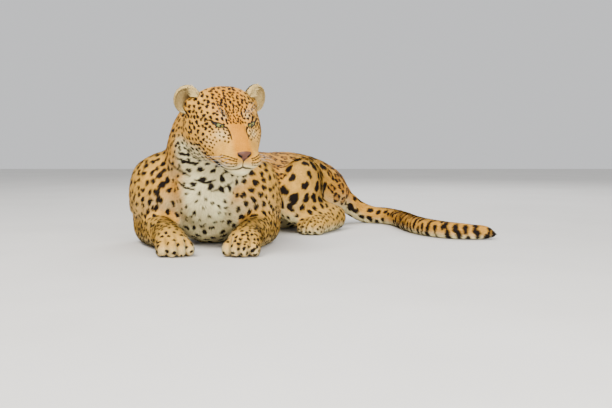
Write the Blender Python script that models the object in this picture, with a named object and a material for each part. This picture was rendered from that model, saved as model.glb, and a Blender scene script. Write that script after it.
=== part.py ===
"""A life-size leopard, an adult male lying with its head up and turned to its left.

Frame: metres, +X the animal's left, +Y to the rear, +Z up, z = 0 the floor. The tables
below start from under the breast bone, and main() then centres the finished parts.
The flesh is lofted along its bones, fused and smoothed as one body, rested on
flats at the floor, and then parted by thin cuts into the parts that have names.
"""

import math

import bmesh
import bpy
import numpy as np
from mathutils import Euler, Matrix, Vector
from mathutils.bvhtree import BVHTree

# Driving dimensions, in metres
CUT = 0.0003  # gap between neighbouring parts
WELD = 0.000005  # points nearer than this are one
THIN_RATIO, THIN_FAVOUR = 0.018, 0.007  # share of faces kept, and how far the face is spared
VOXEL, ROUNDS = 0.0035, 8  # grid of the whole fused flesh, and its rounds of smoothing
BODY_VOXEL, BODY_ROUNDS = 0.006, 30
HEAD_VOXEL, HEAD_ROUNDS = 0.0025, 14
FLOOR_DIP = 0.003  # how far above the tables' z = 0 the resting parts are cut flat
EYE_SPACING = 0.076  # between the eyeballs' centres
EYE_RADIUS = 0.0150
LID_RADIUS = 0.0178
LID_WIDTH = 0.0265
LID_ABOVE, LID_BELOW = 0.0036, 0.0064  # the half-closed opening, above and below its corners
LID_SLANT = math.radians(17)
GAZE = math.radians(20)  # how far each eye faces outwards
LIP_GROOVE = 0.0022

# The head's own frame: its origin between the eyes, turned left and bowed down
HEAD_PLACE = Vector((0.086, -0.262, 0.329))
HEAD_YAW = math.radians(26)
HEAD_BOW = math.radians(16)
HEAD_ROLL = math.radians(-2)
HEAD = (
    Matrix.Translation(HEAD_PLACE)
    @ Matrix.Rotation(HEAD_YAW, 4, "Z")
    @ Matrix.Rotation(HEAD_BOW, 4, "X")
    @ Matrix.Rotation(HEAD_ROLL, 4, "Y")
)

# Lofts. Each row is a section: x, y, z of its middle, half width, height above, depth below
TRUNK = (
    (0.000, -0.105, 0.160, 0.082, 0.080, 0.098),
    (0.000, -0.070, 0.160, 0.104, 0.104, 0.122),
    (0.000, -0.010, 0.155, 0.120, 0.128, 0.140),
    (0.002, 0.080, 0.148, 0.130, 0.142, 0.151),
    (0.010, 0.180, 0.142, 0.136, 0.142, 0.145),
    (0.032, 0.280, 0.135, 0.138, 0.137, 0.138),
    (0.075, 0.375, 0.128, 0.130, 0.128, 0.131),
    (0.135, 0.455, 0.124, 0.118, 0.124, 0.127),
    (0.205, 0.525, 0.124, 0.112, 0.124, 0.124),
    (0.275, 0.585, 0.118, 0.105, 0.110, 0.115),
    (0.335, 0.630, 0.106, 0.084, 0.086, 0.095),
    (0.378, 0.660, 0.092, 0.046, 0.050, 0.055),
)
SHOULDER_BLADE, SHOULDER_BLADE_RADII = (0.066, 0.020, 0.232), (0.044, 0.080, 0.052)
NECK = (
    (0.000, 0.150, 0.160, 0.070, 0.080, 0.080),
    (0.000, 0.060, 0.188, 0.100, 0.098, 0.100),
    (0.006, -0.040, 0.238, 0.118, 0.108, 0.112),
    (0.014, -0.090, 0.282, 0.112, 0.104, 0.108),
    (0.028, -0.133, 0.318, 0.102, 0.094, 0.098),
    (0.044, -0.172, 0.336, 0.086, 0.078, 0.082),
)
TAIL = (
    (0.330, 0.625, 0.105, 0.044, 0.044, 0.044),
    (0.385, 0.668, 0.085, 0.038, 0.038, 0.038),
    (0.430, 0.690, 0.052, 0.034, 0.034, 0.034),
    (0.480, 0.686, 0.031, 0.032, 0.031, 0.034),
    (0.527, 0.652, 0.029, 0.031, 0.030, 0.032),
    (0.558, 0.585, 0.028, 0.030, 0.029, 0.031),
    (0.573, 0.500, 0.028, 0.030, 0.029, 0.031),
    (0.583, 0.410, 0.028, 0.030, 0.029, 0.031),
    (0.598, 0.320, 0.028, 0.029, 0.028, 0.031),
    (0.625, 0.235, 0.027, 0.028, 0.028, 0.030),
    (0.667, 0.168, 0.026, 0.027, 0.027, 0.029),
    (0.722, 0.134, 0.024, 0.025, 0.025, 0.027),
    (0.775, 0.140, 0.021, 0.021, 0.021, 0.024),
    (0.800, 0.148, 0.018, 0.008, 0.008, 0.012),
)


def leg_rows(joints):
    """Rows of a leg's loft, from joints given as a point, a half width and a half height."""
    return tuple((*point, wide, high, high) for point, wide, high in joints)


def fore_leg(elbow_x, wrist_x, toe_x):
    """The upper foreleg and the lower one with its paw, laid on the floor."""
    upper = leg_rows((
        ((0.56 * elbow_x, -0.030, 0.205), 0.056, 0.066),
        ((0.77 * elbow_x, -0.022, 0.165), 0.066, 0.080),
        ((0.90 * elbow_x, 0.025, 0.122), 0.060, 0.074),
        ((elbow_x, 0.080, 0.078), 0.045, 0.056),
    ))
    lower = leg_rows((
        ((elbow_x, 0.090, 0.052), 0.040, 0.046),
        ((0.8 * elbow_x + 0.2 * wrist_x, 0.040, 0.052), 0.047, 0.054),
        ((0.45 * elbow_x + 0.55 * wrist_x, -0.050, 0.047), 0.044, 0.048),
        ((wrist_x, -0.140, 0.044), 0.040, 0.043),
        ((0.8 * wrist_x + 0.2 * toe_x, -0.180, 0.042), 0.041, 0.042),
        ((0.4 * wrist_x + 0.6 * toe_x, -0.235, 0.036), 0.047, 0.038),
        ((toe_x, -0.275, 0.027), 0.044, 0.029),
    ))
    return upper, lower


def hind_leg(hip, thigh, knee, shank, hock, foot, toe):
    """The thigh, the shank and the foot, folded on the floor, through their named points."""
    upper = leg_rows((
        (hip, 0.060, 0.074),
        (thigh, 0.060, 0.096),
        (tuple(0.35 * t + 0.65 * k for t, k in zip(thigh, knee)), 0.054, 0.084),
        (knee, 0.044, 0.060),
    ))
    middle = leg_rows((
        ((*knee[:2], knee[2] - 0.030), 0.036, 0.044),
        (shank, 0.040, 0.054),
        (hock, 0.028, 0.040),
    ))
    lower = leg_rows((
        (hock, 0.026, 0.036),
        (foot, 0.034, 0.033),
        (tuple(0.35 * f + 0.65 * t for f, t in zip(foot, toe)), 0.041, 0.033),
        (toe, 0.038, 0.026),
    ))
    return upper, middle, lower


FORE_LEFT = fore_leg(0.152, 0.118, 0.102)
FORE_RIGHT = fore_leg(-0.184, -0.100, -0.056)
HIND_LEFT = hind_leg(
    (0.262, 0.500, 0.150), (0.250, 0.395, 0.138), (0.212, 0.305, 0.112),
    (0.285, 0.372, 0.058), (0.366, 0.452, 0.040), (0.328, 0.372, 0.032), (0.272, 0.262, 0.027),
)
HIND_RIGHT = hind_leg(
    (0.185, 0.588, 0.150), (0.095, 0.552, 0.138), (0.012, 0.482, 0.112),
    (0.070, 0.570, 0.058), (0.140, 0.652, 0.040), (0.068, 0.605, 0.032), (-0.038, 0.530, 0.027),
)

# The head, in its own frame. Each row is a section at y: the height of its top and of its
# underside, then x and z of the bridge or forehead, the brow, the cheek bone, the jowl and the jaw
SKULL = (
    (
        -0.076, -0.047, -0.078,
        (0.016, -0.048), (0.022, -0.053), (0.026, -0.060), (0.025, -0.068), (0.017, -0.075),
    ),
    (
        -0.064, -0.036, -0.098,
        (0.018, -0.037), (0.027, -0.046), (0.039, -0.060), (0.043, -0.075), (0.033, -0.092),
    ),
    (
        -0.046, -0.020, -0.114,
        (0.019, -0.021), (0.032, -0.032), (0.048, -0.052), (0.053, -0.073), (0.041, -0.098),
    ),
    (
        -0.028, -0.003, -0.114,
        (0.020, -0.004), (0.035, -0.016), (0.053, -0.042), (0.059, -0.069), (0.046, -0.098),
    ),
    (
        -0.010, 0.012, -0.112,
        (0.022, 0.011), (0.043, 0.000), (0.062, -0.026), (0.068, -0.059), (0.051, -0.096),
    ),
    (
        0.015, 0.035, -0.112,
        (0.027, 0.034), (0.056, 0.021), (0.076, -0.008), (0.082, -0.046), (0.059, -0.095),
    ),
    (
        0.045, 0.057, -0.116,
        (0.033, 0.054), (0.063, 0.038), (0.085, 0.002), (0.092, -0.044), (0.068, -0.100),
    ),
    (
        0.080, 0.072, -0.122,
        (0.037, 0.068), (0.070, 0.049), (0.090, 0.008), (0.097, -0.046), (0.072, -0.106),
    ),
    (
        0.112, 0.062, -0.118,
        (0.035, 0.058), (0.066, 0.041), (0.086, 0.003), (0.091, -0.046), (0.068, -0.100),
    ),
    (
        0.140, 0.036, -0.102,
        (0.028, 0.032), (0.050, 0.018), (0.066, -0.010), (0.070, -0.046), (0.052, -0.086),
    ),
)
EAR_MIDDLE, EAR_RADII = (0.090, 0.094, 0.036), (0.034, 0.021, 0.0365)
EAR_WALL, EAR_DEEP = 0.0045, 0.012
EAR_TURN = math.radians(24)  # how far each ear faces outwards
MOUTH = (
    (0.0, -0.080, -0.089), (0.017, -0.080, -0.095), (0.036, -0.069, -0.097), (0.051, -0.046, -0.092),
    (0.061, -0.017, -0.082),
)
PHILTRUM = ((0.0, -0.089, -0.067), (0.0, -0.087, -0.078), (0.0, -0.081, -0.089))
NOSTRIL, NOSTRIL_RADII = (0.0120, -0.087, -0.058), (0.0056, 0.0070, 0.0036)

# Mirrored lumps of the head: middle (x, y, z), radii
PAIRED_LUMPS = (
    ((0.0265, -0.054, -0.075), (0.0285, 0.032, 0.0245)),  # whisker pads
    ((0.035, 0.008, 0.015), (0.025, 0.021, 0.0115)),  # brows
    ((0.076, 0.092, 0.018), (0.024, 0.020, 0.026)),  # ear roots
)
SINGLE_LUMPS = (
    ((0.0, -0.055, -0.102), (0.029, 0.024, 0.0165)),  # chin
    ((0.0, -0.076, -0.054), (0.0215, 0.011, 0.0135)),  # nose
)


# Where the body is parted
NAPE_CUT, THROAT_CUT = 0.125, -0.128
WITHERS, WITHERS_LEAN = Vector((0, -0.140, 0.200)), math.radians(26)
ELBOW_CUT, SHOULDER_CUT = 0.088, 0.100
PELVIS = Matrix.Translation((0.225, 0.540, 0)) @ Matrix.Rotation(math.radians(-49.5), 4, "Z")
HIP_CUT, KNEE_CUT = 0.085, 0.075
SIDES = {"left": 1, "right": -1}
BELOW, FAR = -0.1, 0.4  # past the floor, and past the end of any leg
PAW_REACH, PAW_START, PAW_TOP = 0.075, 0.032, 0.095
FOREARM_INNER, FOREARM_OUTER = 0.042, 0.060
ARM_FRONT, ARM_REAR, ARM_TOP = -0.15, 0.19, 0.26
FOOT_INNER, FOOT_OUTER, FOOT_START = 0.042, 0.048, -0.06
HIP_OUTER, THIGH_FRONT, THIGH_REAR, SHANK_REAR = 0.32, -0.33, 0.10, 0.14
TAIL_CUTS = (("tail_tip", 0.05, 0.270), ("tail_third", 0.270, 0.430), ("tail_second", 0.430, 0.590))
TAIL_ROOT_CUT, RUMP_CUT, CHEST_CUT = 0.205, -0.100, 0.200
COAT_COLOUR, EYE_COLOUR = (0.60, 0.38, 0.16), (0.24, 0.26, 0.08)


def named_object(name, bm):
    """A new object in the scene that holds the mesh of bm."""
    mesh = bpy.data.meshes.new(name)
    bm.to_mesh(mesh)
    bm.free()
    obj = bpy.data.objects.new(name, mesh)
    bpy.context.scene.collection.objects.link(obj)
    return obj


def smooth_rows(rows, steps):
    """Rows between the given ones, on Catmull-Rom curves through each column."""
    rows = np.array(rows, float)
    ends = np.vstack([2 * rows[0] - rows[1], rows, 2 * rows[-1] - rows[-2]])
    t = np.arange(steps)[:, None] / steps
    spans = [
        0.5 * (2 * b + (c - a) * t + (2 * a - 5 * b + 4 * c - d) * t**2 + (3 * b - a - 3 * c + d) * t**3)
        for a, b, c, d in zip(ends, ends[1:], ends[2:], ends[3:])
    ]
    return np.vstack([*spans, rows[-1:]])


def end_rows(end, inner):
    """Rows that round off a loft past its end, on an ellipse as deep as the end is half wide."""
    ahead = end[:3] - inner[:3]
    ahead = ahead / np.linalg.norm(ahead)
    depth = 0.8 * end[3:].min()
    made = []
    for turn in (30, 55, 75, 86):
        reach, size = math.sin(math.radians(turn)), math.cos(math.radians(turn))
        made.append([*(end[:3] + ahead * depth * reach), *(end[3:] * size)])
    return np.array(made)


def loft(rows, steps=5, sides=28, squareness=2.15):
    """A closed skin over sections set square to the path through their middles."""
    rows = smooth_rows(rows, steps)
    rows = np.vstack([end_rows(rows[0], rows[1])[::-1], rows, end_rows(rows[-1], rows[-2])])
    middles = rows[:, :3]
    along = np.gradient(middles, axis=0)
    along /= np.linalg.norm(along, axis=1, keepdims=True)
    across = np.cross(along, (0.0, 0.0, 1.0))
    across /= np.linalg.norm(across, axis=1, keepdims=True)
    lift = np.cross(across, along)
    rings = []
    for middle, side, up, (wide, above, below) in zip(middles, across, lift, rows[:, 3:]):
        ring = []
        for k in range(sides):
            c, s = math.cos(2 * math.pi * k / sides), math.sin(2 * math.pi * k / sides)
            c = math.copysign(abs(c) ** (2 / squareness), c)
            s = math.copysign(abs(s) ** (2 / squareness), s)
            ring.append(middle + side * wide * c + up * s * (above if s > 0 else below))
        rings.append(ring)
    return skinned(rings)


def skinned(rings, frame=None):
    """A closed body over rings of points."""
    bm = bmesh.new()
    rings = [[bm.verts.new(point) for point in ring] for ring in rings]
    for ring, following in zip(rings, rings[1:]):
        for k in range(len(ring)):
            n = (k + 1) % len(ring)
            bm.faces.new((ring[k], ring[n], following[n], following[k]))
    bm.faces.new(rings[0][::-1])
    bm.faces.new(rings[-1])
    bmesh.ops.recalc_face_normals(bm, faces=bm.faces)
    if frame is not None:
        bm.transform(frame)
    return named_object("skinned", bm)


def skull():
    """The head's main form, smooth through its table of sections and mirrored."""
    rows = np.array([[y, top, under, *sum(sides, ())] for y, top, under, *sides in SKULL])
    rows = smooth_rows(rows, 4)
    rings = []
    for y, top, under, *sides in rows:
        half = [(0.0, top), *zip(sides[0::2], sides[1::2]), (0.0, under)]
        outline = half + [(-x, z) for x, z in half[-2:0:-1]]
        closed = np.array([outline[-1], *outline, *outline[:2]])
        ring = []
        for a, b, c, d in zip(closed, closed[1:], closed[2:], closed[3:]):
            for t in (0.0, 0.25, 0.5, 0.75):
                bend = (2 * a - 5 * b + 4 * c - d) * t**2 + (3 * b - a - 3 * c + d) * t**3
                x, z = 0.5 * (2 * b + (c - a) * t + bend)
                ring.append((x, y, z))
        rings.append(ring)
    return skinned(rings, HEAD)


def ball(middle, radii, frame=None, turn=(0, 0, 0), segments=24):
    """An ellipsoid."""
    bm = bmesh.new()
    shape = Matrix.Translation(middle) @ Euler(turn).to_matrix().to_4x4() @ Matrix.Diagonal((*radii, 1))
    bmesh.ops.create_uvsphere(bm, u_segments=segments, v_segments=segments // 2, radius=1, matrix=shape)
    if frame is not None:
        bm.transform(frame)
    return named_object("ball", bm)


def block(low, high, frame=None):
    """A box between two corners."""
    bm = bmesh.new()
    low, high = Vector(low), Vector(high)
    shape = Matrix.Translation((low + high) / 2) @ Matrix.Diagonal((*(high - low), 1))
    bmesh.ops.create_cube(bm, size=1, matrix=shape)
    if frame is not None:
        bm.transform(frame)
    return named_object("block", bm)


def settle(obj):
    """Applies the object's modifiers."""
    graph = bpy.context.evaluated_depsgraph_get()
    mesh = bpy.data.meshes.new_from_object(obj.evaluated_get(graph))
    obj.modifiers.clear()
    obj.data = mesh
    return obj


def discard(*objects):
    for obj in objects:
        bpy.data.objects.remove(obj)


def copy_of(obj):
    twin = obj.copy()
    twin.data = obj.data.copy()
    bpy.context.scene.collection.objects.link(twin)
    return twin


def join_all(objects):
    """One object that holds the meshes of all."""
    bm = bmesh.new()
    for obj in objects:
        bm.from_mesh(obj.data)
    joined = named_object("joined", bm)
    discard(*objects)
    return joined


def combine(obj, other, operation, untangle=False):
    """A Boolean of obj with other, applied. MANIFOLD takes over where EXACT gives nothing."""
    modifier = obj.modifiers.new("combine", "BOOLEAN")
    modifier.operation = operation
    modifier.object = other
    modifier.use_self = untangle
    for solver in ("EXACT", "MANIFOLD"):
        modifier.solver = solver
        graph = bpy.context.evaluated_depsgraph_get()
        mesh = bpy.data.meshes.new_from_object(obj.evaluated_get(graph))
        if len(mesh.polygons) > 0:
            break
    obj.modifiers.clear()
    obj.data = mesh
    return obj


def swollen(obj, by):
    """A copy whose surface lies further out."""
    twin = copy_of(obj)
    modifier = twin.modifiers.new("swell", "DISPLACE")
    modifier.strength = by
    modifier.mid_level = 0
    return settle(twin)


def keep_largest(obj):
    """Clears slivers and drops every loose piece but the one with the largest volume."""
    bm = bmesh.new()
    bm.from_mesh(obj.data)
    bmesh.ops.remove_doubles(bm, verts=bm.verts, dist=WELD)
    bmesh.ops.dissolve_degenerate(bm, dist=WELD, edges=bm.edges)
    bmesh.ops.holes_fill(bm, edges=[edge for edge in bm.edges if edge.is_boundary])
    unseen = set(bm.verts)
    islands = []
    while unseen:
        island, edge = set(), [unseen.pop()]
        while edge:
            vert = edge.pop()
            island.add(vert)
            near = {e.other_vert(vert) for e in vert.link_edges} & unseen
            unseen -= near
            edge.extend(near)
        islands.append(island)
    largest = max(islands, key=volume_of)
    bmesh.ops.delete(bm, geom=[v for v in bm.verts if v not in largest], context="VERTS")
    bm.to_mesh(obj.data)
    bm.free()
    return obj


def volume_of(verts):
    """Volume inside the faces round these vertices."""
    faces = {f for v in verts for f in v.link_faces}
    total = 0.0
    for face in faces:
        a = face.verts[0].co
        for b, c in zip(face.verts[1:], face.verts[2:]):
            total += a.dot(b.co.cross(c.co)) / 6
    return total


def paint(obj, name, colour, roughness=0.8):
    """Names the part and gives it a material of its own."""
    material = bpy.data.materials.new(name)
    material.use_nodes = True
    shader = material.node_tree.nodes["Principled BSDF"]
    shader.inputs["Base Color"].default_value = (*colour, 1)
    shader.inputs["Roughness"].default_value = roughness
    shader.inputs["Metallic"].default_value = 0
    obj.name = name
    obj.data.name = name
    obj.data.materials.clear()
    obj.data.materials.append(material)
    for polygon in obj.data.polygons:
        polygon.use_smooth = True
    obj.data.set_sharp_from_angle(angle=math.radians(40))
    return obj


def toes(wrist, tip, ball_radii, spread):
    """Four toes across the front of a paw that points from wrist to tip."""
    ahead = Vector((tip[0] - wrist[0], tip[1] - wrist[1], 0)).normalized()
    aside = Vector((ahead.y, -ahead.x, 0))
    made = []
    for step in (-1.5, -0.5, 0.5, 1.5):
        reach = 0.004 if abs(step) < 1 else -0.010
        middle = Vector(tip) + ahead * reach + aside * spread * step
        turn = (0, 0, math.atan2(ahead.x, -ahead.y))
        made.append(ball(middle, ball_radii, turn=turn, segments=16))
    return made


def head_pieces():
    """The skull and the lumps of muscle, fur and lip on it."""
    made = [skull()]
    for middle, radii in SINGLE_LUMPS:
        made.append(ball(middle, radii, HEAD))
    for x_sign in (1, -1):
        for (x, y, z), radii in PAIRED_LUMPS:
            made.append(ball((x_sign * x, y, z), radii, HEAD))
        made.append(ball((x_sign * EYE_SPACING / 2, 0, 0), (LID_RADIUS,) * 3, HEAD))
    return made


def fuse(pieces, voxel, rounds):
    """The pieces as one body, fused on a voxel grid and smoothed."""
    body = join_all(pieces)
    remesh = body.modifiers.new("fuse", "REMESH")
    remesh.mode = "VOXEL"
    remesh.voxel_size = voxel
    smooth = body.modifiers.new("smooth", "SMOOTH")
    smooth.factor = 0.5
    smooth.iterations = rounds
    return settle(body)


def body_pieces():
    """Trunk, neck and legs, whose joints need the broadest smoothing."""
    made = [loft(TRUNK), loft(NECK)]
    for x_sign in (1, -1):
        made.append(ball((x_sign * SHOULDER_BLADE[0], *SHOULDER_BLADE[1:]), SHOULDER_BLADE_RADII))
    for upper, lower in (FORE_LEFT, FORE_RIGHT):
        made += [loft(upper), loft(lower, sides=24)]
    for upper, middle, lower in (HIND_LEFT, HIND_RIGHT):
        made += [loft(upper), loft(middle), loft(lower, sides=24)]
    return made


def paw_pieces():
    made = []
    for _, lower in (FORE_LEFT, FORE_RIGHT):
        tip = (lower[-1][0], -0.288, 0.021)
        made += toes(lower[3][:3], tip, (0.0145, 0.031, 0.0230), 0.0238)
    for _, _, lower in (HIND_LEFT, HIND_RIGHT):
        made += toes(lower[1][:3], (*lower[-1][:2], 0.021), (0.0125, 0.028, 0.0215), 0.0200)
    return made


def fused_flesh():
    """The whole flesh as one surface."""
    body = fuse(body_pieces(), BODY_VOXEL, BODY_ROUNDS)
    head = fuse(head_pieces(), HEAD_VOXEL, HEAD_ROUNDS)
    return fuse([body, head, loft(TAIL, sides=20), *paw_pieces()], VOXEL, ROUNDS)


def thinned(body):
    """The fused flesh with fewer faces, spared on the face."""
    into_head = HEAD.inverted()
    bm = bmesh.new()
    bm.from_mesh(body.data)
    body.vertex_groups.new(name="coarse")
    layer = bm.verts.layers.deform.verify()
    for vert in bm.verts:
        x, y, z = into_head @ vert.co
        face = y < 0.030 and abs(x) < 0.070 and -0.12 < z < 0.045
        vert[layer][0] = 0.5 if face else 1.0
    bm.to_mesh(body.data)
    bm.free()
    thin = body.modifiers.new("thin", "DECIMATE")
    thin.ratio = THIN_RATIO
    thin.vertex_group = "coarse"
    thin.vertex_group_factor = THIN_FAVOUR
    return settle(body)


def rested(body):
    """Cuts the body flat where it lies on the floor."""
    floor = block((-2, -2, -1), (3, 3, FLOOR_DIP))
    combine(body, floor, "DIFFERENCE", untangle=True)
    discard(floor)
    return body


def split(body, low, high, frame=None):
    """Takes what lies in a block out of the body, and leaves the cut's gap round it."""
    inner = block(low, high, frame)
    outer = block([v - CUT for v in low], [v + CUT for v in high], frame)
    piece = combine(copy_of(body), inner, "INTERSECT")
    combine(body, outer, "DIFFERENCE")
    discard(inner, outer)
    return keep_largest(piece)


def facing(place, turn, slant=0.0):
    """A frame at a place of the head, turned outwards about z and then about its own front."""
    return (
        HEAD
        @ Matrix.Translation(place)
        @ Matrix.Rotation(turn, 4, "Z")
        @ Matrix.Rotation(slant, 4, "Y")
    )


def almond(frame):
    """The cutter of a lid's opening: an almond's outline drawn out along the gaze."""
    half = LID_WIDTH / 2
    steps = [half * (k / 8 - 1) for k in range(17)]
    top = [(x, LID_ABOVE * (1 - (x / half) ** 2)) for x in steps]
    under = [(x, -LID_BELOW * (1 - (x / half) ** 2)) for x in steps[-2:0:-1]]
    rings = [[(x, y, z) for x, z in top + under] for y in (-0.030, -0.004)]
    return skinned(rings, frame)


def groove(points, near, radius):
    """The cutter of a groove: a tube along the points, each brought onto the surface near it."""
    rows = smooth_rows(points, 4)
    middles = [near.find_nearest(HEAD @ Vector(row))[0] for row in rows]
    rings = []
    for k, middle in enumerate(middles):
        along = (middles[min(k + 1, len(middles) - 1)] - middles[max(k - 1, 0)]).normalized()
        side = along.orthogonal().normalized() if k == 0 else (side - side.dot(along) * along).normalized()
        lift = along.cross(side)
        size = radius * (1 if 0 < k < len(middles) - 1 else 0.4)
        angles = [2 * math.pi * n / 8 for n in range(8)]
        rings.append([middle + size * (side * math.cos(a) + lift * math.sin(a)) for a in angles])
    return skinned(rings)


def surface_of(obj):
    bm = bmesh.new()
    bm.from_mesh(obj.data)
    tree = BVHTree.FromBMesh(bm)
    bm.free()
    return tree


def face_details(head):
    """Lids over the eye sockets, their openings, the line of the mouth and the nostrils."""
    near = surface_of(head)
    cutters = [groove(PHILTRUM, near, LIP_GROOVE * 0.7)]
    for x_sign in (1, -1):
        lid = ball((x_sign * EYE_SPACING / 2, 0, 0), (LID_RADIUS,) * 3, HEAD, segments=20)
        combine(head, lid, "UNION")
        discard(lid)
        cutters.append(ball((x_sign * EYE_SPACING / 2, 0, 0), (EYE_RADIUS + CUT,) * 3, HEAD, segments=18))
        place = (x_sign * EYE_SPACING / 2, 0, 0)
        cutters.append(almond(facing(place, x_sign * GAZE, -x_sign * LID_SLANT)))
        cutters.append(groove([(x_sign * x, y, z) for x, y, z in MOUTH], near, LIP_GROOVE))
        middle = HEAD.inverted() @ near.find_nearest(HEAD @ Vector((x_sign * NOSTRIL[0], *NOSTRIL[1:])))[0]
        cutters.append(ball(middle, NOSTRIL_RADII, HEAD, turn=(0, x_sign * 0.5, 0), segments=12))
    for cutter in cutters:
        combine(head, cutter, "DIFFERENCE")
        discard(cutter)
    return keep_largest(head)


def ear(x_sign, bound):
    """A rounded cup, open to the front, that ends at the bound just off the head."""
    frame = facing((x_sign * EAR_MIDDLE[0], *EAR_MIDDLE[1:]), x_sign * EAR_TURN)
    cup = ball((0, 0, 0), EAR_RADII, frame, segments=20)
    wide, deep, high = EAR_RADII
    hollow_radii = (wide - EAR_WALL, deep + EAR_DEEP - 0.006, high - EAR_WALL)
    hollow = ball((0, -EAR_DEEP, 0), hollow_radii, frame, turn=(0.06, 0.09, 0.03), segments=22)
    combine(cup, hollow, "DIFFERENCE")
    combine(cup, bound, "DIFFERENCE")
    discard(hollow)
    return keep_largest(cup)


def limb_frame(start, end):
    """A frame on the floor under start, with its y axis towards end."""
    ahead = Vector(end[:2]) - Vector(start[:2])
    turn = math.atan2(ahead.y, ahead.x) - math.pi / 2
    return Matrix.Translation((*start[:2], 0)) @ Matrix.Rotation(turn, 4, "Z")


def part_legs(body):
    """The parts of the four legs, by blocks set along them."""
    parts = {}
    for side, (upper, lower) in (("left", FORE_LEFT), ("right", FORE_RIGHT)):
        x_sign = SIDES[side]
        elbow, wrist, toe = lower[0][:3], lower[3][:3], lower[-1][:3]
        low, high = (-PAW_REACH, PAW_START, BELOW), (PAW_REACH, FAR, PAW_TOP)
        parts["forepaw_" + side] = split(body, low, high, limb_frame(wrist, toe))
        inner, outer = sorted((-x_sign * FOREARM_INNER, x_sign * FOREARM_OUTER))
        low, high = (inner, -0.1, BELOW), (outer, FAR, ELBOW_CUT)
        parts["forearm_" + side] = split(body, low, high, limb_frame(elbow, wrist))
        inner, outer = sorted((x_sign * SHOULDER_CUT, x_sign * FAR))
        low, high = (inner, ARM_FRONT, ELBOW_CUT), (outer, ARM_REAR, ARM_TOP)
        parts["upper_foreleg_" + side] = split(body, low, high)
    for side, (_, _, lower) in (("left", HIND_LEFT), ("right", HIND_RIGHT)):
        low, high = (-FOOT_INNER, FOOT_START, BELOW), (FOOT_OUTER, FAR, KNEE_CUT)
        parts["hind_foot_" + side] = split(body, low, high, limb_frame(lower[0][:3], lower[-1][:3]))
        inner, outer = sorted((SIDES[side] * HIP_CUT, SIDES[side] * HIP_OUTER))
        low, high = (inner, THIGH_FRONT, BELOW), (outer, SHANK_REAR, KNEE_CUT)
        parts["shank_" + side] = split(body, low, high, PELVIS)
        low, high = (inner, THIGH_FRONT, KNEE_CUT), (outer, THIGH_REAR, FAR)
        parts["thigh_" + side] = split(body, low, high, PELVIS)
    return parts


def part_trunk(body):
    """The tail in four lengths, the rump, the belly and the chest."""
    parts = {}
    for name, near_y, far_y in TAIL_CUTS:
        parts[name] = split(body, (0.48, near_y, -0.1), (0.95, far_y, 0.2))
    parts["tail_root"] = split(body, (-0.5, TAIL_ROOT_CUT, -0.1), (0.5, 0.6, 0.4), PELVIS)
    parts["chest"] = split(body, (-0.5, -0.5, -0.1), (0.5, CHEST_CUT, 0.4))
    parts["rump"] = split(body, (-0.5, RUMP_CUT, -0.1), (0.5, 0.6, 0.4), PELVIS)
    parts["belly"] = keep_largest(body)
    return parts


def centre(objects):
    """Moves all the parts onto the floor, with the frame's origin in the middle of their base."""
    corners = np.array([vert.co for obj in objects for vert in obj.data.vertices])
    middle = (corners.min(0) + corners.max(0)) / 2
    for obj in objects:
        obj.data.transform(Matrix.Translation((-middle[0], -middle[1], -FLOOR_DIP)))


def main():
    for old in list(bpy.data.objects):
        bpy.data.objects.remove(old)
    body = thinned(fused_flesh())
    bound = swollen(body, CUT)
    rested(body)
    head = split(body, (-0.3, -0.3, THROAT_CUT), (0.3, NAPE_CUT, 0.3), HEAD)
    withers_cut = Matrix.Translation(WITHERS) @ Matrix.Rotation(WITHERS_LEAN, 4, "X")
    neck = split(body, (-0.4, -0.4, 0), (0.4, 0.5, 0.4), withers_cut)
    parts = {"head": head, "neck": neck}
    for side, x_sign in (("left", 1), ("right", -1)):
        parts["ear_" + side] = ear(x_sign, bound)
        parts["eye_" + side] = ball((x_sign * EYE_SPACING / 2, 0, 0), (EYE_RADIUS,) * 3, HEAD, segments=18)
    discard(bound)
    face_details(head)
    parts.update(part_legs(body))
    parts.update(part_trunk(body))
    for name, obj in parts.items():
        eye = name.startswith("eye")
        paint(obj, name, EYE_COLOUR if eye else COAT_COLOUR, 0.1 if eye else 0.85)
    centre(parts.values())


if __name__ == "__main__":
    main()
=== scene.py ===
# %% [markdown]
# # A life-size leopard, lying with its head up
# The packed body is a fixed frame of named solids: head, neck, chest, legs, tail. This lesson
# dresses it as a museum would: one skin over all the flesh, eyes behind lids, a leather nose,
# whiskers, the spotted pattern of the species and a short coat in tufts that follow its lie.

# %% Load the packed body
import math

import bmesh
import bpy
import numpy as np
from mathutils import Matrix, Vector
from mathutils.bvhtree import BVHTree
from mathutils.kdtree import KDTree


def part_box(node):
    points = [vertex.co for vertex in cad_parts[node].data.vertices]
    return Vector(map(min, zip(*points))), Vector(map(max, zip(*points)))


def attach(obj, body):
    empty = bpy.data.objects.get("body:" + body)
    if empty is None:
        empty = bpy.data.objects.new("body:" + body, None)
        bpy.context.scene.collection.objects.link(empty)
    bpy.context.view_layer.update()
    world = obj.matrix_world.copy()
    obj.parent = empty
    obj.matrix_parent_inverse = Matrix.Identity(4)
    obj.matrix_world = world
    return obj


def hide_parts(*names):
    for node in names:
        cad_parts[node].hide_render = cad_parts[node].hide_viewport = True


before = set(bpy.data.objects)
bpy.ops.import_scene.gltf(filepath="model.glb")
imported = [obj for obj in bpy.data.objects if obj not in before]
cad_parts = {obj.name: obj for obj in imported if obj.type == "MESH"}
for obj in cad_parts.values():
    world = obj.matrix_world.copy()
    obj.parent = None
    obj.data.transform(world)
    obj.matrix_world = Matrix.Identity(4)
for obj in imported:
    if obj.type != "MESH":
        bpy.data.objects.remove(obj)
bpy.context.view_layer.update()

print("nodes in the frame:", len(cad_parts))

# %% [markdown]
# ## Where the head is
# Every feature of a face is easiest to place in the head's own axes: x to its left, y to its
# rear, z to its crown, with the origin midway between the eyeballs. The head of this animal is
# turned and bowed, so one matrix carries points from those axes into the room.

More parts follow.
